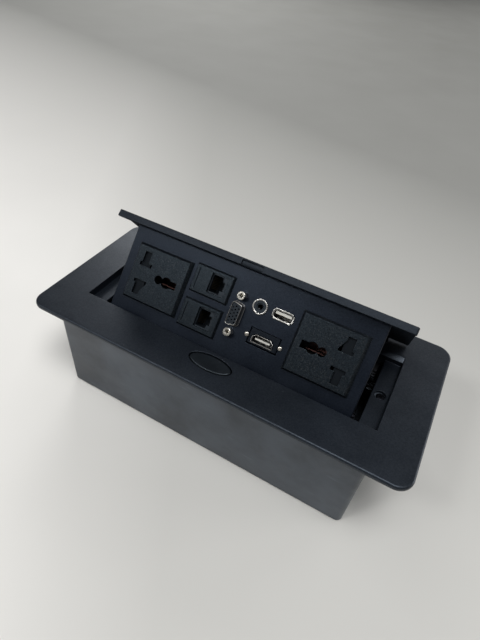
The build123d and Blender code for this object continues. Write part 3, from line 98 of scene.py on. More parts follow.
class Finish:
    """A procedural material; each method adds nodes and returns the socket that holds the result."""

    def __init__(self, name):
        self.material = bpy.data.materials.new(name)
        self.material.use_nodes = True
        self.tree = self.material.node_tree
        self.shader = self.tree.nodes["Principled BSDF"]
        self.place = self.node("ShaderNodeTexCoord").outputs["Object"]

    def node(self, kind, **settings):
        made = self.tree.nodes.new(kind)
        for key, value in settings.items():
            setattr(made, key, value)
        return made

    def feed(self, socket, value):
        """Links a socket to another one, or sets it to a constant."""
        if isinstance(value, bpy.types.NodeSocket):
            self.tree.links.new(value, socket)
        elif isinstance(value, tuple) and len(value) == 3 and len(socket.default_value) == 4:
            socket.default_value = (*value, 1.0)
        else:
            socket.default_value = value

    def stretched(self, x, y, z):
        """The object's coordinates, stretched for brushed or streaky patterns."""
        mapping = self.node("ShaderNodeMapping")
        self.feed(mapping.inputs["Vector"], self.place)
        mapping.inputs["Scale"].default_value = (x, y, z)
        return mapping.outputs["Vector"]

    def noise(self, scale, detail=2.0, roughness=0.5, vector=None):
        """Cloudy noise from 0 to 1; its scale counts the clouds along a metre."""
        made = self.node("ShaderNodeTexNoise")
        self.feed(made.inputs["Vector"], vector or self.place)
        made.inputs["Scale"].default_value = scale
        made.inputs["Detail"].default_value = detail
        made.inputs["Roughness"].default_value = roughness
        return made.outputs["Fac"]

    def cells(self, scale, output):
        """Random cells: Color gives each one its own value, Distance the way to its middle."""
        made = self.node("ShaderNodeTexVoronoi")
        self.feed(made.inputs["Vector"], self.place)
        made.inputs["Scale"].default_value = scale
        return made.outputs[output]

    def spread(self, value, low, high, start=0.0, end=1.0):
        """Maps the range low to high onto start to end, held at both ends."""
        made = self.node("ShaderNodeMapRange", clamp=True)
        for key, item in (("Value", value), ("From Min", low), ("From Max", high),
                          ("To Min", start), ("To Max", end)):
            self.feed(made.inputs[key], item)
        return made.outputs["Result"]

    def combine(self, operation, a, b):
        made = self.node("ShaderNodeMath", operation=operation)
        self.feed(made.inputs[0], a)
        self.feed(made.inputs[1], b)
        return made.outputs[0]

    def plus(self, a, b):
        return self.combine("ADD", a, b)

    def times(self, a, b):
        return self.combine("MULTIPLY", a, b)

    def blend(self, amount, a, b):
        """Colour a turning into colour b."""
        made = self.node("ShaderNodeMix", data_type="RGBA")
        self.feed(made.inputs["Factor"], amount)
        self.feed(made.inputs["A"], a)
        self.feed(made.inputs["B"], b)
        return made.outputs["Result"]

    def mottled(self, pattern, color, share, low=0.3, high=0.7):
        """The colour, made darker and lighter by that share as the pattern goes from low to high."""
        dark, light = scaled(color, 1 - share), scaled(color, 1 + share)
        return self.blend(self.spread(pattern, low, high), dark, light)

    def over(self, tint, mask, strength, color):
        """The tint with a colour laid over it where the mask is 1, at that strength."""
        return self.blend(self.times(mask, strength), tint, color)

    def edges(self, radius):
        """1 where the surface turns a corner within that many millimetres, else 0."""
        rounded = self.node("ShaderNodeBevel", samples=4)
        rounded.inputs["Radius"].default_value = radius * MM
        facing = self.node("ShaderNodeVectorMath", operation="DOT_PRODUCT")
        self.feed(facing.inputs[0], rounded.outputs["Normal"])
        self.feed(facing.inputs[1], self.node("ShaderNodeNewGeometry").outputs["Normal"])
        return self.spread(facing.outputs["Value"], low=0.8, high=0.985, start=1.0, end=0.0)

    def rubbed_and_lit_edges(self, radius, patches):
        """The corners within that many millimetres, but only in the patches."""
        return self.times(self.edges(radius), patches)

    def bump(self, height, distance, below=None):
        """A relief that many millimetres high, on top of the relief below it."""
        made = self.node("ShaderNodeBump")
        made.inputs["Distance"].default_value = distance * MM
        self.feed(made.inputs["Height"], height)
        if below is not None:
            self.feed(made.inputs["Normal"], below)
        return made.outputs["Normal"]

    def done(self, color, roughness, normal=None, **constants):
        """Feeds the shader and returns the material; a constant's name has _ for each space."""
        self.feed(self.shader.inputs["Base Color"], color)
        self.feed(self.shader.inputs["Roughness"], roughness)
        if normal is not None:
            self.feed(self.shader.inputs["Normal"], normal)
        for key, value in constants.items():
            self.feed(self.shader.inputs[key.replace("_", " ")], value)
        return self.material


def scaled(color, factor):
    return tuple(min(1.0, channel * factor) for channel in color)


DUST = (0.2, 0.21, 0.22)
POWDER_SHEEN = (0.72, 0.84, 1.0)
PANEL_SHEEN = (0.64, 0.78, 1.0)
SPARK_SHEEN = (0.66, 0.84, 1.0)
MOULDED_SHEEN = (0.74, 0.87, 1.0)


def powder_coat(name, color, rough, edge_light_and_wear=2.2, sheen=POWDER_SHEEN, gleam=1.0):
    """Baked powder on sheet metal: orange-peel grain, faint smudges, dust, and edges lightened in patches,
    partly as rubbed wear and partly as a painted edge highlight.

    The edge factor makes the edges that many times as light as the rest, and below 1 it paints shade along
    them; gleam is the strength of the reflections.
    """
    look = Finish(name)
    tint = look.mottled(look.noise(22.0, detail=4.0), color, share=0.3)
    tint = look.over(tint, look.spread(look.noise(900.0), 0.35, 0.75), 0.35, scaled(color, 1.8))
    patches = look.spread(look.noise(160.0, detail=3.0), 0.35, 0.65)
    # Lighter edges in patches: partly rubbed wear, partly a painted edge highlight; a factor below 1 paints
    # shade along the edges instead
    tint = look.over(tint, look.rubbed_and_lit_edges(0.5, patches), 0.6, scaled(color, edge_light_and_wear))
    grains = look.spread(look.cells(330.0, "Distance"), 0.05, 0.085, start=1.0, end=0.0)
    dusty = look.spread(look.noise(75.0, detail=1.0), 0.64, 0.68)
    tint = look.over(tint, look.times(grains, dusty), 0.5, DUST)
    smudge = look.noise(38.0, 3.0, 0.6, look.stretched(1.0, 1.6, 0.7))
    roughness = look.spread(smudge, 0.3, 0.7, start=rough - 0.05, end=rough + 0.07)
    peel = look.bump(look.noise(1500.0, roughness=0.6), 0.02)
    normal = look.bump(look.noise(420.0, detail=1.0), 0.016, below=peel)
    glint = look.spread(look.noise(1150.0, roughness=0.7), 0.34, 0.68, start=0.37 * gleam, end=0.6 * gleam)
    return look.done(tint, roughness, normal, Specular_Tint=sheen, Specular_IOR_Level=glint)


def spark_plastic(name, color, rough, grain, glint_paint):
    """Plastic from a spark-eroded mould: a coarse grain, with single facets painted lighter as painted
    glints.
    """
    look = Finish(name)
    tint = look.mottled(look.noise(30.0, detail=3.0), color, share=0.2)
    cell = look.node("ShaderNodeSeparateColor")
    look.feed(cell.inputs["Color"], look.cells(1500.0, "Color"))
    # Painted glints: single facets get a lighter colour as well as a lower roughness
    glinting_facet = look.spread(cell.outputs["Red"], 0.76, 1.0)
    tint = look.over(tint, glinting_facet, 0.8, (glint_paint, glint_paint * 1.08, glint_paint * 1.15))
    patches = look.spread(look.noise(240.0), 0.3, 0.6)
    # Lighter edges in patches: partly rubbed wear, partly a painted edge highlight
    tint = look.over(tint, look.rubbed_and_lit_edges(0.4, patches), 0.55, scaled(color, 3.0))
    roughness = look.spread(glinting_facet, 0.0, 1.0, start=rough, end=rough - 0.12)
    normal = look.bump(look.noise(1500.0, roughness=0.7), grain)
    glint = look.spread(look.noise(1300.0, roughness=0.7), 0.32, 0.7, start=0.17, end=0.6)
    return look.done(tint, roughness, normal, Specular_Tint=SPARK_SHEEN, Specular_IOR_Level=glint)


def moulded(name, color, rough, grain=0.012, edge_light_and_wear=1.8, gleam=0.5):
    """Plain moulded plastic with a soft sheen, faint flow marks, and edges lightened partly as handling
    wear and partly as a painted highlight, or darkened as a painted shade.
    """
    look = Finish(name)
    flow = look.noise(60.0, 3.0, 0.55, look.stretched(1.0, 1.0, 3.0))
    tint = look.mottled(flow, color, share=0.15)
    # Edges darker than the rest are a painted shadow of a groove, which is stronger than the lighter edges
    # of handling wear and painted highlight
    strength = 0.35 if edge_light_and_wear > 1 else 0.9
    tint = look.over(tint, look.edges(0.4), strength, scaled(color, edge_light_and_wear))
    roughness = look.spread(look.noise(180.0), 0.3, 0.7, start=rough - 0.06, end=rough + 0.08)
    normal = look.bump(look.noise(1600.0), grain)
    return look.done(tint, roughness, normal, Specular_Tint=MOULDED_SHEEN, Specular_IOR_Level=gleam)


def plated(name, color, rough, tarnish, dull=0.35):
    """Nickel, zinc, steel or brass: fine drawing lines, clouds of tarnish and edges painted slightly
    brighter as a painted highlight.
    """
    look = Finish(name)
    lines = look.noise(900.0, 2.0, 0.6, look.stretched(1.0, 8.0, 1.0))
    cloud = look.noise(210.0, 3.0, 0.6)
    tint = look.over(color, look.spread(cloud, 0.45, 0.8), dull, tarnish)
    tint = look.over(tint, look.spread(lines, 0.4, 0.7), 0.25, scaled(color, 0.8))
    # Painted highlight: the edges are made slightly lighter
    tint = look.over(tint, look.edges(0.3), 0.4, scaled(color, 1.15))
    roughness = look.spread(cloud, 0.3, 0.75, start=rough, end=rough + 0.18)
    return look.done(tint, roughness, look.bump(lines, 0.006), Metallic=1.0)


def satin_box(name, color):
    """The box's thin satin coat: cloudy, with wiped smudges, short scuffs and corners lightened in patches,
    partly as rubbed wear and partly as a painted highlight.
    """
    look = Finish(name)
    tint = look.mottled(look.noise(30.0, 5.0, 0.62), color, share=0.32, low=0.34, high=0.66)
    wiped = look.noise(14.0, 4.0, 0.65, look.stretched(1.0, 1.0, 2.4))
    tint = look.over(tint, look.spread(wiped, 0.5, 0.72), 0.4, scaled(color, 1.5))
    scuff = look.noise(240.0, 1.0, 0.5, look.stretched(0.25, 1.0, 1.6))
    tint = look.over(tint, look.spread(scuff, 0.7, 0.78), 0.35, scaled(color, 2.2))
    patches = look.spread(look.noise(130.0, detail=3.0), 0.35, 0.6)
    # Lighter corners in patches: partly rubbed wear, partly a painted edge highlight
    tint = look.over(tint, look.rubbed_and_lit_edges(0.7, patches), 0.7, scaled(color, 2.6))
    roughness = look.spread(wiped, 0.3, 0.7, start=0.5, end=0.36)
    peel = look.bump(look.noise(1100.0), 0.01)
    return look.done(tint, roughness, look.bump(look.noise(70.0), 0.03, below=peel))


def rubber(name, color):
    """Matt rubber with a fine bloom, and edges painted lighter as a painted highlight."""
    look = Finish(name)
    bloom = look.noise(90.0, 4.0, 0.6)
    tint = look.blend(look.spread(bloom, 0.4, 0.75), color, scaled(color, 2.4))
    # Painted highlight: the edges are made lighter
    tint = look.over(tint, look.edges(0.5), 0.4, scaled(color, 2.5))
    roughness = look.spread(bloom, 0.3, 0.7, start=0.72, end=0.85)
    return look.done(tint, roughness, look.bump(look.noise(1400.0), 0.02))


finishes = {
    "frame_coat": powder_coat("frame_coat", (0.0056, 0.0074, 0.0108), 0.4, gleam=1.15),
    "lid_coat": powder_coat("lid_coat", (0.0042, 0.0057, 0.0084), 0.48, gleam=0.72),
    "panel_coat": powder_coat("panel_coat", (0.0026, 0.0038, 0.0070), 0.36, sheen=PANEL_SHEEN, gleam=0.8),
    "box_coat": satin_box("box_coat", (0.0495, 0.0610, 0.0770)),
    # The button's edges are painted dark: a painted shadow in the groove round it
    "button_plastic": moulded("button_plastic", (0.0050, 0.0066, 0.0086), 0.38, grain=0.025, edge_light_and_wear=0.2),
    "dark_steel": powder_coat("dark_steel", (0.016, 0.018, 0.022), 0.45),
    "pin_steel": plated("pin_steel", (0.24, 0.24, 0.26), 0.3, (0.14, 0.14, 0.15)),
    "spring_steel": plated("spring_steel", (0.16, 0.165, 0.18), 0.35, (0.07, 0.072, 0.08)),
    "bush_plastic": moulded("bush_plastic", (0.02, 0.02, 0.021), 0.4),
    "gear_plastic": moulded("gear_plastic", (0.03, 0.03, 0.032), 0.42),
    "inner_plastic": moulded("inner_plastic", (0.02, 0.021, 0.023), 0.5),
    "black_screw": plated("black_screw", (0.014, 0.015, 0.019), 0.42, (0.006, 0.006, 0.008)),
    "zinc_screw": plated("zinc_screw", (0.3, 0.31, 0.32), 0.34, (0.14, 0.145, 0.15)),
    "nickel_screw": plated("nickel_screw", (0.69, 0.67, 0.61), 0.2, (0.36, 0.28, 0.19), dull=0.45),
    "grommet_rubber": rubber("grommet_rubber", (0.014, 0.014, 0.015)),
    "socket_plastic": spark_plastic("socket_plastic", (0.0036, 0.0049, 0.0068), 0.42, 0.05, glint_paint=0.03),
    "shutter_plastic": moulded("shutter_plastic", (0.0016, 0.0022, 0.0034), 0.6, gleam=0.22),
    # The brass contacts are painted very dark: painted shade for their place deep in the socket holes
    "contact_brass": plated("contact_brass", (0.085, 0.045, 0.04), 0.42, (0.035, 0.02, 0.018)),
    "module_plastic": spark_plastic("module_plastic", (0.0040, 0.0054, 0.0072), 0.4, 0.03, glint_paint=0.025),
    "jack_plastic": moulded("jack_plastic", (0.006, 0.008, 0.011), 0.45),
    "contact_gold": plated("contact_gold", (0.4, 0.31, 0.17), 0.25, (0.16, 0.125, 0.08)),
    "nickel_shell": plated("nickel_shell", (0.55, 0.54, 0.515), 0.22, (0.26, 0.25, 0.235)),
    "insert_plastic": moulded("insert_plastic", (0.005, 0.0062, 0.0086), 0.5, gleam=0.4),
    "tongue_plastic": moulded("tongue_plastic", (0.66, 0.645, 0.59), 0.4),
    # The display plate's edges are painted almost black: a painted shade for the gap round the plate
    "hdmi_coat": powder_coat("hdmi_coat", (0.0022, 0.0032, 0.0056), 0.42, edge_light_and_wear=0.05, gleam=0.5),
}
for name, node in nodes.items():
    node.data.materials.clear()
    node.data.materials.append(finishes[slot_of[name]])


# Pieces

def piece(name, mesh, body, slot, *replaced):
    """Puts a mesh in the scene as a piece of the object."""
    made = bpy.data.objects.new(name, mesh)
    bpy.context.scene.collection.objects.link(made)
    mesh.materials.clear()
    mesh.materials.append(finishes[slot])
    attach(made, body)
    if replaced:
        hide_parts(*replaced)
    return made


# The oval button, and the height where its chamfer starts
BUTTON_Y = -40.3
BUTTON_HALF_LONG = 15.0
BUTTON_HALF_WIDE = 6.2
CHAMFER_START = 69.0
CHAMFER = 0.8


def chamfer_button(point):
    """Draws the top of the oval button in, most at its top face."""
    rise = (point.z - CHAMFER_START * MM) / MM
    if rise > 0:
        inset = CHAMFER * min(1.0, rise) ** 2
        point.x *= 1 - inset / BUTTON_HALF_LONG
        point.y += (BUTTON_Y * MM - point.y) * inset / BUTTON_HALF_WIDE


# Beyond these places, seen from the face panel's middle, lie the display plate's outer edges
PLATE_RIGHT = 33.8
PLATE_LOW = -14.05
PLATE_BACK = -1.9
PLATE_GAP = 0.6


def trim_plate(point):
    """Leaves a shadow gap at the display plate's right and lower edges."""
    place = point - FACE_MIDDLE
    if place.dot(FACE_OUT) > PLATE_BACK * MM:
        if place.x > PLATE_RIGHT * MM:
            point.x -= PLATE_GAP * MM
        if place.dot(FACE_UP) < PLATE_LOW * MM:
            point += FACE_UP * (PLATE_GAP * MM)


# How far the edges are rolled over, and the nodes that are reshaped before that
EDGES = {
    "frame": 0.3, "lid": 0.3, "face_panel": 0.25, "bottom_box": 0.35, "button_cap": 0.4,
    "socket_left_cover": 0.3, "socket_right_cover": 0.3, "network_upper_bezel": 0.2,
    "network_lower_bezel": 0.2, "hdmi_plate": 0.4, "audio_jack": 0.15, "side_arm_left": 0.2,
    "side_arm_right": 0.2, "usb_tongue": 0.15, "hdmi_tongue": 0.12, "cable_grommets": 0.35,
}
RESHAPED = {"button_cap": chamfer_button, "hdmi_plate": trim_plate}
WELD = 0.002
FLAT_ANGLE = radians(0.6)
EDGE_ANGLE = radians(28)


def worked(node, width):
    """The CAD node's own surface with its sharp edges rolled over by that many millimetres."""
    source = nodes[node]
    shape = bmesh.new()
    shape.from_mesh(source.data)
    bmesh.ops.remove_doubles(shape, verts=shape.verts, dist=WELD * MM)
    bmesh.ops.dissolve_limit(shape, angle_limit=FLAT_ANGLE, verts=shape.verts, edges=shape.edges)
    if node in RESHAPED:
        for vertex in shape.verts:
            RESHAPED[node](vertex.co)
    for side in shape.faces:
        side.smooth = True
    mesh = bpy.data.meshes.new(node + "_worked")
    shape.to_mesh(mesh)
    shape.free()
    made = piece(node + "_worked", mesh, source["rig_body"], slot_of[node], node)
    roll = made.modifiers.new("rolled edges", "BEVEL")
    roll.width = width * MM
    roll.segments = 2
    roll.limit_method = "ANGLE"
    roll.angle_limit = EDGE_ANGLE
    roll.use_clamp_overlap = False
    flat = made.modifiers.new("flat faces stay flat", "WEIGHTED_NORMAL")
    flat.mode = "FACE_AREA"
    flat.weight = 100


for node, width in EDGES.items():
    worked(node, width)


# Springs, as pieces of their own


def sprung(node):
    """A spring's own surface, copied into a piece of its own."""
    source = nodes[node]
    made = piece(node + "_coil", source.data.copy(), source["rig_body"], slot_of[node], node)
    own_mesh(made)


sprung("button_springs")
sprung("latch_spring")
for name, sign in SIDES:
    sprung(f"socket_{name}_shutter_spring")


# Ways of building a piece

ARC_STEPS = 6


def built(name, shape, at, body, slot, *replaced, sharp=35):
    """Turns a bmesh in millimetres into a piece at its place, smooth but for its sharp edges."""
    bmesh.ops.recalc_face_normals(shape, faces=shape.faces)
    for side in shape.faces:
        side.smooth = True
    mesh = bpy.data.meshes.new(name)
    shape.to_mesh(mesh)
    shape.free()
    mesh.set_sharp_from_angle(angle=radians(sharp))
    mesh.transform(at)
    piece(name, mesh, body, slot, *replaced)


def skin(shape, loops, closed=False):
    """Joins neighbouring loops of points with faces and returns the loops' vertices."""
    rings = [[shape.verts.new(point) for point in loop] for loop in loops]
    pairs = list(zip(rings, rings[1:])) + ([(rings[-1], rings[0])] if closed else [])
    for one, other in pairs:
        for a in range(len(one)):
            b = (a + 1) % len(one)
            shape.faces.new((one[a], one[b], other[b], other[a]))
    return rings


def capped(shape, rings):
    """Closes both ends of a row of loops."""
    shape.faces.new(rings[0])
    shape.faces.new(rings[-1])


def corner_normals(corners):
    """Each corner of a convex outline, with the ways out of the sides before and after it."""
    for index, corner in enumerate(corners):
        here = Vector(corner)
        arrive = (here - Vector(corners[index - 1])).normalized()
        leave = (Vector(corners[(index + 1) % len(corners)]) - here).normalized()
        yield here, Vector((arrive.y, -arrive.x)), Vector((leave.y, -leave.x))


def around(corners, radius, grow):
    """The outline of a convex shape with rounded corners, offset outwards by grow."""
    points = []
    for here, first, last in corner_normals(corners):
        centre = here - (first + last) * (radius / (1 + first.dot(last)))
        sweep = first.angle_signed(last, 0.0)
        for step in range(ARC_STEPS + 1):
            turn = Matrix.Rotation(-sweep * step / ARC_STEPS, 2)
            points.append(centre + (turn @ first) * (radius + grow))
    return points


def mitred(corners, grow):
    """The outline moved outwards by grow, its corners kept sharp."""
    return [here + (first + last) * (grow / (1 + first.dot(last)))
            for here, first, last in corner_normals(corners)]


def ring(name, corners, radius, section, at, slot, *replaced):
    """Carries a closed section of (outwards, height) pairs round a rounded outline."""
    shape = bmesh.new()
    loops = [[(*point, high) for point in around(corners, radius, out)] for out, high in section]
    skin(shape, loops, closed=True)
    built(name, shape, at, MODULE, slot, *replaced)


def lips(name, corners, section, spans, at, slot):
    """Carries a section along parts of an outline, each part a strip with closed ends."""
    shape = bmesh.new()
    tracks = [(mitred(corners, out), high) for out, high in section]
    for span in spans:
        loops = [[(*track[index % len(corners)], high) for track, high in tracks] for index in span]
        capped(shape, skin(shape, loops))
    built(name, shape, at, MODULE, slot)


def turned(profile, steps=48):
    """Loops of points for a body of revolution; a profile radius may be a function of the angle."""
    loops = []
    for radius, high in profile:
        loop = []
        for step in range(steps):
            angle = 2 * pi * step / steps
            reach = radius(angle) if callable(radius) else radius
            loop.append((reach * cos(angle), reach * sin(angle), high))
        loops.append(loop)
    return loops


# The video socket's shell: a drawn tube with a rolled rim, flaring into its flange
VIDEO_HALF_LONG = 8.0
VIDEO_HALF_SHORT = 3.6
VIDEO_LEAN = 1.27
VIDEO_CORNER = 1.5
video_at = face_matrix(VIDEO_X, VIDEO_S)
video_outline = [
    (-VIDEO_HALF_SHORT, -VIDEO_HALF_LONG), (VIDEO_HALF_SHORT, VIDEO_LEAN - VIDEO_HALF_LONG),
    (VIDEO_HALF_SHORT, VIDEO_HALF_LONG - VIDEO_LEAN), (-VIDEO_HALF_SHORT, VIDEO_HALF_LONG),
]
rim_section = [
    (-0.42, 4.3), (-0.42, 4.8), (-0.36, 4.94), (-0.21, 5.0), (-0.06, 4.94), (0.0, 4.8), (0.0, 4.3),
]
wall_section = [
    (-0.41, -1.9), (-0.41, 4.4), (-0.01, 4.4), (-0.01, 0.95), (0.05, 0.62), (0.16, 0.36), (0.32, 0.2),
    (0.42, 0.14), (0.42, -0.4), (-0.01, -1.9),
]
flare_section = [
    (0.4, -0.4), (0.4, 0.16), (0.52, 0.26), (0.66, 0.27), (0.76, 0.18), (0.78, 0.0), (0.7, -0.3),
]
ring("video_rim", video_outline, VIDEO_CORNER, rim_section, video_at, "nickel_shell", "video_shell")
# The tube's wall takes the darker spring_steel finish: a painted shade down the inside of the nickel shell
ring("video_wall", video_outline, VIDEO_CORNER, wall_section, video_at, "spring_steel")
ring("video_flare", video_outline, VIDEO_CORNER, flare_section, video_at, "nickel_shell")

FLANGE_HALF_WIDE = 5.8
FLANGE_HALF_LONG = 15.4
FLANGE_CORNER = 5.75
flange_outline = [
    (-FLANGE_HALF_WIDE, -FLANGE_HALF_LONG), (FLANGE_HALF_WIDE, -FLANGE_HALF_LONG),
    (FLANGE_HALF_WIDE, FLANGE_HALF_LONG), (-FLANGE_HALF_WIDE, FLANGE_HALF_LONG),
]
flange_section = [(-6.0, -2.8), (-6.0, -2.05), (-0.2, -2.05), (0.0, -2.2), (0.0, -2.65), (-0.2, -2.8)]
ring("video_flange", flange_outline, FLANGE_CORNER, flange_section, video_at, "nickel_shell")

# The display socket's shell, with its lip rolled to a thin edge
DISPLAY_HALF_WIDE = 7.5
DISPLAY_HALF_HIGH = 2.8
DISPLAY_SHOULDER_X = 5.1
DISPLAY_SHOULDER_S = 0.8
DISPLAY_CORNER = 0.45
display_at = face_matrix(DISPLAY_X, DISPLAY_S)
display_outline = [
    (-DISPLAY_HALF_WIDE, -DISPLAY_HALF_HIGH), (DISPLAY_HALF_WIDE, -DISPLAY_HALF_HIGH),
    (DISPLAY_HALF_WIDE, DISPLAY_SHOULDER_S), (DISPLAY_SHOULDER_X, DISPLAY_HALF_HIGH),
    (-DISPLAY_SHOULDER_X, DISPLAY_HALF_HIGH), (-DISPLAY_HALF_WIDE, DISPLAY_SHOULDER_S),
]
lip_section = [
    (-0.46, -0.7), (-0.46, -0.42), (-0.36, -0.2), (-0.2, -0.1), (-0.06, -0.15), (0.0, -0.3), (0.0, -0.7),
]
shaded_tube_section = [(-0.47, -12.1), (-0.47, -0.66), (-0.01, -0.66), (-0.01, -12.1)]
ring("display_lip", display_outline, DISPLAY_CORNER, lip_section, display_at, "nickel_shell", "hdmi_shell")
# The tube takes the darker spring_steel finish: a painted shade inside the nickel shell
ring("display_tube", display_outline, DISPLAY_CORNER, shaded_tube_section, display_at, "spring_steel")

# The charging socket's tube, and its four flared lips with gaps at the corners
TUBE_HALF_WIDE = 6.2
TUBE_HALF_HIGH = 2.5
TUBE_CORNER = 0.5
charging_at = face_matrix(CHARGING_X, CHARGING_S)
tube_outline = [
    (-TUBE_HALF_WIDE, -TUBE_HALF_HIGH), (TUBE_HALF_WIDE, -TUBE_HALF_HIGH),
    (TUBE_HALF_WIDE, TUBE_HALF_HIGH), (-TUBE_HALF_WIDE, TUBE_HALF_HIGH),
]
tube_section = [(0.0, -14.0), (0.0, 0.2), (0.35, 0.2), (0.35, -14.0)]
# The tube takes the darker spring_steel finish: a painted shade inside the nickel shell
ring("charging_tube", tube_outline, TUBE_CORNER, tube_section, charging_at, "spring_steel", "usb_shell")

FLARE_HALF_WIDE = 7.3
FLARE_HALF_HIGH = 3.6
FLARE_CUT = 1.8
GAP_START_SHARE = 0.42
GAP_END_SHARE = 0.58
flat_x = FLARE_HALF_WIDE - FLARE_CUT
flat_s = FLARE_HALF_HIGH - FLARE_CUT
eight = [
    (-flat_x, -FLARE_HALF_HIGH), (flat_x, -FLARE_HALF_HIGH),
    (FLARE_HALF_WIDE, -flat_s), (FLARE_HALF_WIDE, flat_s),
    (flat_x, FLARE_HALF_HIGH), (-flat_x, FLARE_HALF_HIGH),
    (-FLARE_HALF_WIDE, flat_s), (-FLARE_HALF_WIDE, -flat_s),
]
# Each of the four corners is a slanted side, with a gap that starts and ends at these shares of it
gapped = []
for index in range(1, len(eight), 2):
    here, there = Vector(eight[index]), Vector(eight[(index + 1) % len(eight)])
    gapped += [eight[index - 1], eight[index]]
    gapped += [here.lerp(there, share) for share in (GAP_START_SHARE, GAP_END_SHARE)]
curl_section = [
    (-1.08, 0.0), (-1.08, 0.35), (-0.98, 0.56), (-0.78, 0.68), (-0.2, 0.8), (-0.05, 0.76), (0.0, 0.64),
    (-0.06, 0.52), (-0.6, 0.4), (-0.74, 0.28), (-0.74, 0.0),
]
# A lip runs from the end of one gap to the start of the next, four points in all
lip_spans = [range(4 * side + 3, 4 * side + 7) for side in range(4)]
lips("charging_lips", gapped, curl_section, lip_spans, charging_at, "nickel_shell")

# The audio socket's rounded ring
ring_profile = [
    (4.05, 0.0), (4.05, 0.6), (4.13, 0.78), (4.3, 0.88), (4.9, 0.9), (5.06, 0.8), (5.14, 0.62), (5.15, 0.0),
]
shape = bmesh.new()
skin(shape, turned(ring_profile, steps=96), closed=True)
built("audio_ring", shape, face_matrix(AUDIO_X, AUDIO_S), MODULE, "nickel_shell", "audio_bezel")

# The video socket's hexagonal jack screws, with a threaded bore
HEX_REACH = 3.1
JACK_SCREW_S = 12.5
SHANK_RADIUS = 1.5
SHANK_LENGTH = 7.0
THREAD_CREST = 1.08
THREAD_ROOT = 1.32
THREAD_TOP = 4.15
THREAD_STEP = 0.24
THREAD_STEPS = 14


def hexagon(limit):
    """The reach of the hexagon in a direction, turned down to a limit at its corners."""
    return lambda angle: min(HEX_REACH * cos(pi / 6) / cos((angle % (pi / 3)) - pi / 6), limit)


hexes = [(hexagon(limit), high)
         for limit, high in ((HEX_REACH, 0.0), (HEX_REACH, 3.9), (2.95, 4.2), (2.72, 4.45), (2.45, 4.6))]
thread = [(THREAD_ROOT if step % 2 else THREAD_CREST, THREAD_TOP - THREAD_STEP * step)
          for step in range(THREAD_STEPS)]
bore_edge = [(1.62, 4.6), (1.42, 4.42)]
jack_profile = [(SHANK_RADIUS, -SHANK_LENGTH), (SHANK_RADIUS, 0.0), *hexes, *bore_edge, *thread]
for name, sign in (("upper", 1), ("lower", -1)):
    shape = bmesh.new()
    capped(shape, skin(shape, turned(jack_profile)))
    replaced = ["video_jackscrews"] if name == "upper" else []
    built(f"video_jackscrew_{name}", shape, face_matrix(VIDEO_X, sign * JACK_SCREW_S), MODULE,
          "nickel_screw", *replaced, sharp=25)


# The small screws, with their cross recesses

def cross(arm, wide, high):
    """The outline of a cross recess at one height."""
    corners = []
    for quarter in range(4):
        turn = Matrix.Rotation(pi / 2 * quarter, 2)
        for x, y in ((arm, -wide), (arm, wide), (wide, wide)):
            corners.append((*(turn @ Vector((x, y))), high))
    return corners


DOME_SHARES = ((0.97, 0.0), (1.0, 0.1), (1.0, 0.4), (0.94, 0.68), (0.8, 0.88), (0.62, 1.0))
CROSS_MOUTH_SHARES = (0.5, 0.11)
CROSS_FLOOR_SHARES = (0.3, 0.06)
CROSS_FLOOR_RISE_SHARE = 0.35


def cross_screw(name, at, size, body, slot, *replaced):
    """A pan-head screw with a tapered cross recess; size is head radius, head height, radius, length."""
    head_radius, head, radius, length = size
    shape = bmesh.new()
    dome = [(head_radius * out, head * up) for out, up in DOME_SHARES]
    rings = skin(shape, turned([(radius, -length), (radius, 0.0), *dome]))
    shape.faces.new(rings[0])
    mouth = cross(*(head_radius * share for share in CROSS_MOUTH_SHARES), head)
    bottom = cross(*(head_radius * share for share in CROSS_FLOOR_SHARES), CROSS_FLOOR_RISE_SHARE * head)
    walls = skin(shape, [mouth, bottom])
    shape.faces.new(walls[-1])
    lines = [[vertex.co for vertex in loop] for loop in (rings[-1], walls[0])]
    flat = [vertex for loop in (rings[-1], walls[0]) for vertex in loop]
    for triangle in tessellate_polygon(lines):
        shape.faces.new([flat[corner] for corner in triangle])
    built(name, shape, at, body, slot, *replaced)


DISPLAY_SCREW = (1.55, 0.9, 1.0, 5.0)
DISPLAY_SCREWS_X, DISPLAY_SCREWS_S = 23.3, -8.95
DISPLAY_SCREW_REACH = 11.75
FRAME_SCREW = (2.9, 1.1, 1.5, 6.0)
FRAME_SCREW_X, FRAME_SCREW_Z = 101.7, 62.0
FRAME_SCREW_TURN = 0.5
for name, sign in SIDES:
    display_node, frame_node = (["hdmi_screws"], ["frame_screws"]) if name == "left" else ([], [])
    here = face_matrix(DISPLAY_SCREWS_X + DISPLAY_SCREW_REACH * sign, DISPLAY_SCREWS_S)
    cross_screw(f"hdmi_screw_{name}", here, DISPLAY_SCREW, MODULE, "nickel_screw", *display_node)
    place = Matrix.Translation((FRAME_SCREW_X * MM * sign, 0, FRAME_SCREW_Z * MM))
    turn = Matrix.Rotation(FRAME_SCREW_TURN * sign, 4, "Z")
    cross_screw(f"frame_screw_{name}", place @ turn @ Matrix.Scale(MM, 4), FRAME_SCREW, BASE,
                "black_screw", *frame_node)


# Gold strips under the tongues, spring tabs in the charging shell, and the audio jack's tip contact

LEAF_STEPS = 12


def leaf(name, at, slot, long, wide, rise, thick):
    """A pressed contact strip that bows out of its seat along its length."""
    shape = bmesh.new()
    loops = []
    for step in range(LEAF_STEPS + 1):
        share = step / LEAF_STEPS
        bow = rise * sin(pi * share) ** 2
        loops.append([(-wide / 2, bow, -long * share), (wide / 2, bow, -long * share),
                      (wide / 2, bow + thick, -long * share), (-wide / 2, bow + thick, -long * share)])
    capped(shape, skin(shape, loops))
    built(name, shape, at, MODULE, slot, sharp=40)


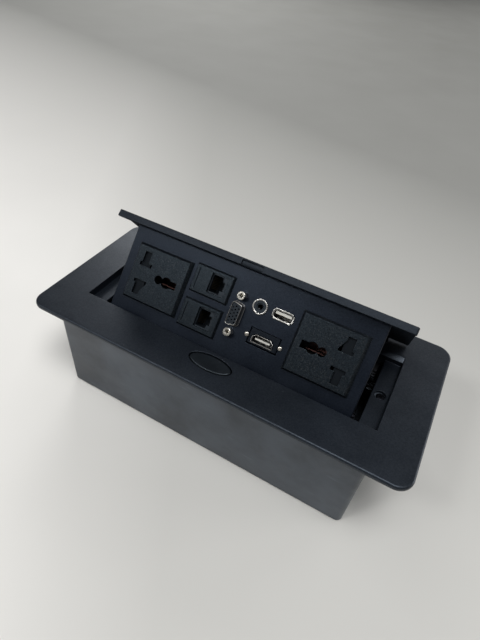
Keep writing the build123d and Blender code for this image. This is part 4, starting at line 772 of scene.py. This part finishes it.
def gold_strips(name, x, s, count, pitch, drop, depth, **sizes):
    """Equal strips side by side, numbered from the left, set below a port's middle and behind its mouth."""
    for index in range(count):
        at = face_matrix(x + (index - (count - 1) / 2) * pitch, s - drop, -depth)
        leaf(f"{name}_{index + 1}", at, "contact_gold", **sizes)


gold_strips("usb_contact", CHARGING_X, CHARGING_S, count=4, pitch=2.5, drop=0.18, depth=1.0,
            long=7.0, wide=1.1, rise=0.12, thick=0.1)
gold_strips("hdmi_contact", DISPLAY_X, DISPLAY_S, count=9, pitch=1.0, drop=0.22, depth=1.2,
            long=6.0, wide=0.45, rise=0.1, thick=0.08)
TAB_REACH = 2.9
TAB_DROP = 2.48
TAB_OUT = 0.2
for name, sign in SIDES:
    tab_at = face_matrix(CHARGING_X + TAB_REACH * sign, CHARGING_S - TAB_DROP, TAB_OUT)
    leaf(f"usb_tab_low_{name}", tab_at, "nickel_shell", long=6.5, wide=2.0, rise=0.75, thick=0.2)
TIP_LEFT = 0.6
TIP_DROP = 1.45
TIP_DEPTH = 1.4
tip_at = face_matrix(AUDIO_X - TIP_LEFT, AUDIO_S - TIP_DROP, -TIP_DEPTH)
leaf("audio_tip_contact", tip_at, "pin_steel", long=5.0, wide=0.8, rise=0.8, thick=0.15)


# Floor, background, lamps and camera

FLOOR_REACH = 2.6
# Painted light on the floor: its tone at the lit left, at the shaded right, behind and far off
PAPER_LIT_LEFT = (0.9, 0.885, 0.85)
PAPER_SHADED_RIGHT = (0.69, 0.682, 0.65)
PAPER_SHADED_BEHIND = (0.28, 0.28, 0.264)
PAPER_SHADED_FAR = (0.22, 0.22, 0.205)
PAPER_CLOUD = (0.5, 0.5, 0.49)


def paper():
    """Matt paper with painted light: lighter at the left and darker with the distance as a painted falloff
    of light, with faint clouds.
    """
    look = Finish("floor_paper")
    steps = look.node("ShaderNodeSeparateXYZ")
    look.feed(steps.inputs["Vector"], look.place)
    x, y = steps.outputs["X"], steps.outputs["Y"]
    away = look.plus(y, look.times(x, 0.25))
    across = look.plus(look.times(x, 0.87), look.times(y, 0.48))
    # Painted light: lighter to the left, darker behind and far off
    tint = look.blend(look.spread(across, -0.17, -0.04), PAPER_LIT_LEFT, PAPER_SHADED_RIGHT)
    tint = look.blend(look.spread(away, -0.05, 0.5), tint, PAPER_SHADED_BEHIND)
    tint = look.blend(look.spread(away, 0.45, 1.3), tint, PAPER_SHADED_FAR)
    tint = look.over(tint, look.spread(look.noise(9.0, detail=4.0), 0.3, 0.7), 0.06, PAPER_CLOUD)
    return look.done(tint, 0.85)


floor_mesh = bpy.data.meshes.new("floor")
shape = bmesh.new()
bmesh.ops.create_grid(shape, x_segments=8, y_segments=8, size=FLOOR_REACH)
shape.to_mesh(floor_mesh)
shape.free()
floor_mesh.materials.append(paper())
floor = bpy.data.objects.new("floor", floor_mesh)
bpy.context.scene.collection.objects.link(floor)

# The background that the camera sees is lighter than the glow that it casts
GLOW = (0.97, 0.98, 1.0, 1.0)
GLOW_STRENGTH = 0.12
BACKDROP = (0.66, 0.66, 0.645, 1.0)
world = bpy.data.worlds.new("studio")
bpy.context.scene.world = world
world.use_nodes = True
tree = world.node_tree
lit = tree.nodes["Background"]
lit.inputs["Color"].default_value = GLOW
lit.inputs["Strength"].default_value = GLOW_STRENGTH
seen = tree.nodes.new("ShaderNodeBackground")
seen.inputs["Color"].default_value = BACKDROP
either = tree.nodes.new("ShaderNodeMixShader")
tree.links.new(tree.nodes.new("ShaderNodeLightPath").outputs["Is Camera Ray"], either.inputs[0])
tree.links.new(lit.outputs["Background"], either.inputs[1])
tree.links.new(seen.outputs["Background"], either.inputs[2])
tree.links.new(either.outputs["Shader"], tree.nodes["World Output"].inputs["Surface"])


def lamp(name, place, size, power, target_height=0.05):
    """A soft square lamp aimed at that height above the middle of the floor; places are in metres."""
    light = bpy.data.lights.new(name, "AREA")
    light.shape = "SQUARE"
    light.size = size
    light.energy = power
    made = bpy.data.objects.new(name, light)
    bpy.context.scene.collection.objects.link(made)
    made.location = place
    way = Vector((0, 0, target_height)) - Vector(place)
    made.rotation_euler = way.to_track_quat("-Z", "Y").to_euler()


lamp("ceiling lamp", (0.4, -0.4, 2.15), size=1.0, power=25.5, target_height=0)
lamp("left lamp", (-1.5, -0.72, 1.08), size=0.35, power=1.4)
lamp("front left lamp", (-1.2, -1.0, 1.3), size=0.5, power=2.6)
lamp("front lamp", (-0.43, -0.72, 1.0), size=0.2, power=2.7, target_height=0.08)
lamp("right lamp", (1.5, 0.8, 0.45), size=0.7, power=7.0)
lamp("rear lamp", (-1.0, 1.57, 0.85), size=0.9, power=12.5)
lamp("rear glow", (0.7, 2.2, 0.6), size=1.4, power=10.0)

# The camera stands where the photograph was taken
CAMERA_PLACE = Vector((93.15, -207.14, 292.99)) * MM
CAMERA_TURN = Euler([radians(angle) for angle in (46.020, -4.690, 29.007)])
camera_data = bpy.data.cameras.new("camera")
camera_data.lens = 26.07
camera_data.sensor_width = 36.0
camera_data.clip_start = 0.01
camera = bpy.data.objects.new("camera", camera_data)
bpy.context.scene.collection.objects.link(camera)
camera.matrix_world = Matrix.Translation(CAMERA_PLACE) @ CAMERA_TURN.to_matrix().to_4x4()
bpy.context.scene.camera = camera

bpy.context.scene.view_settings.view_transform = "Standard"
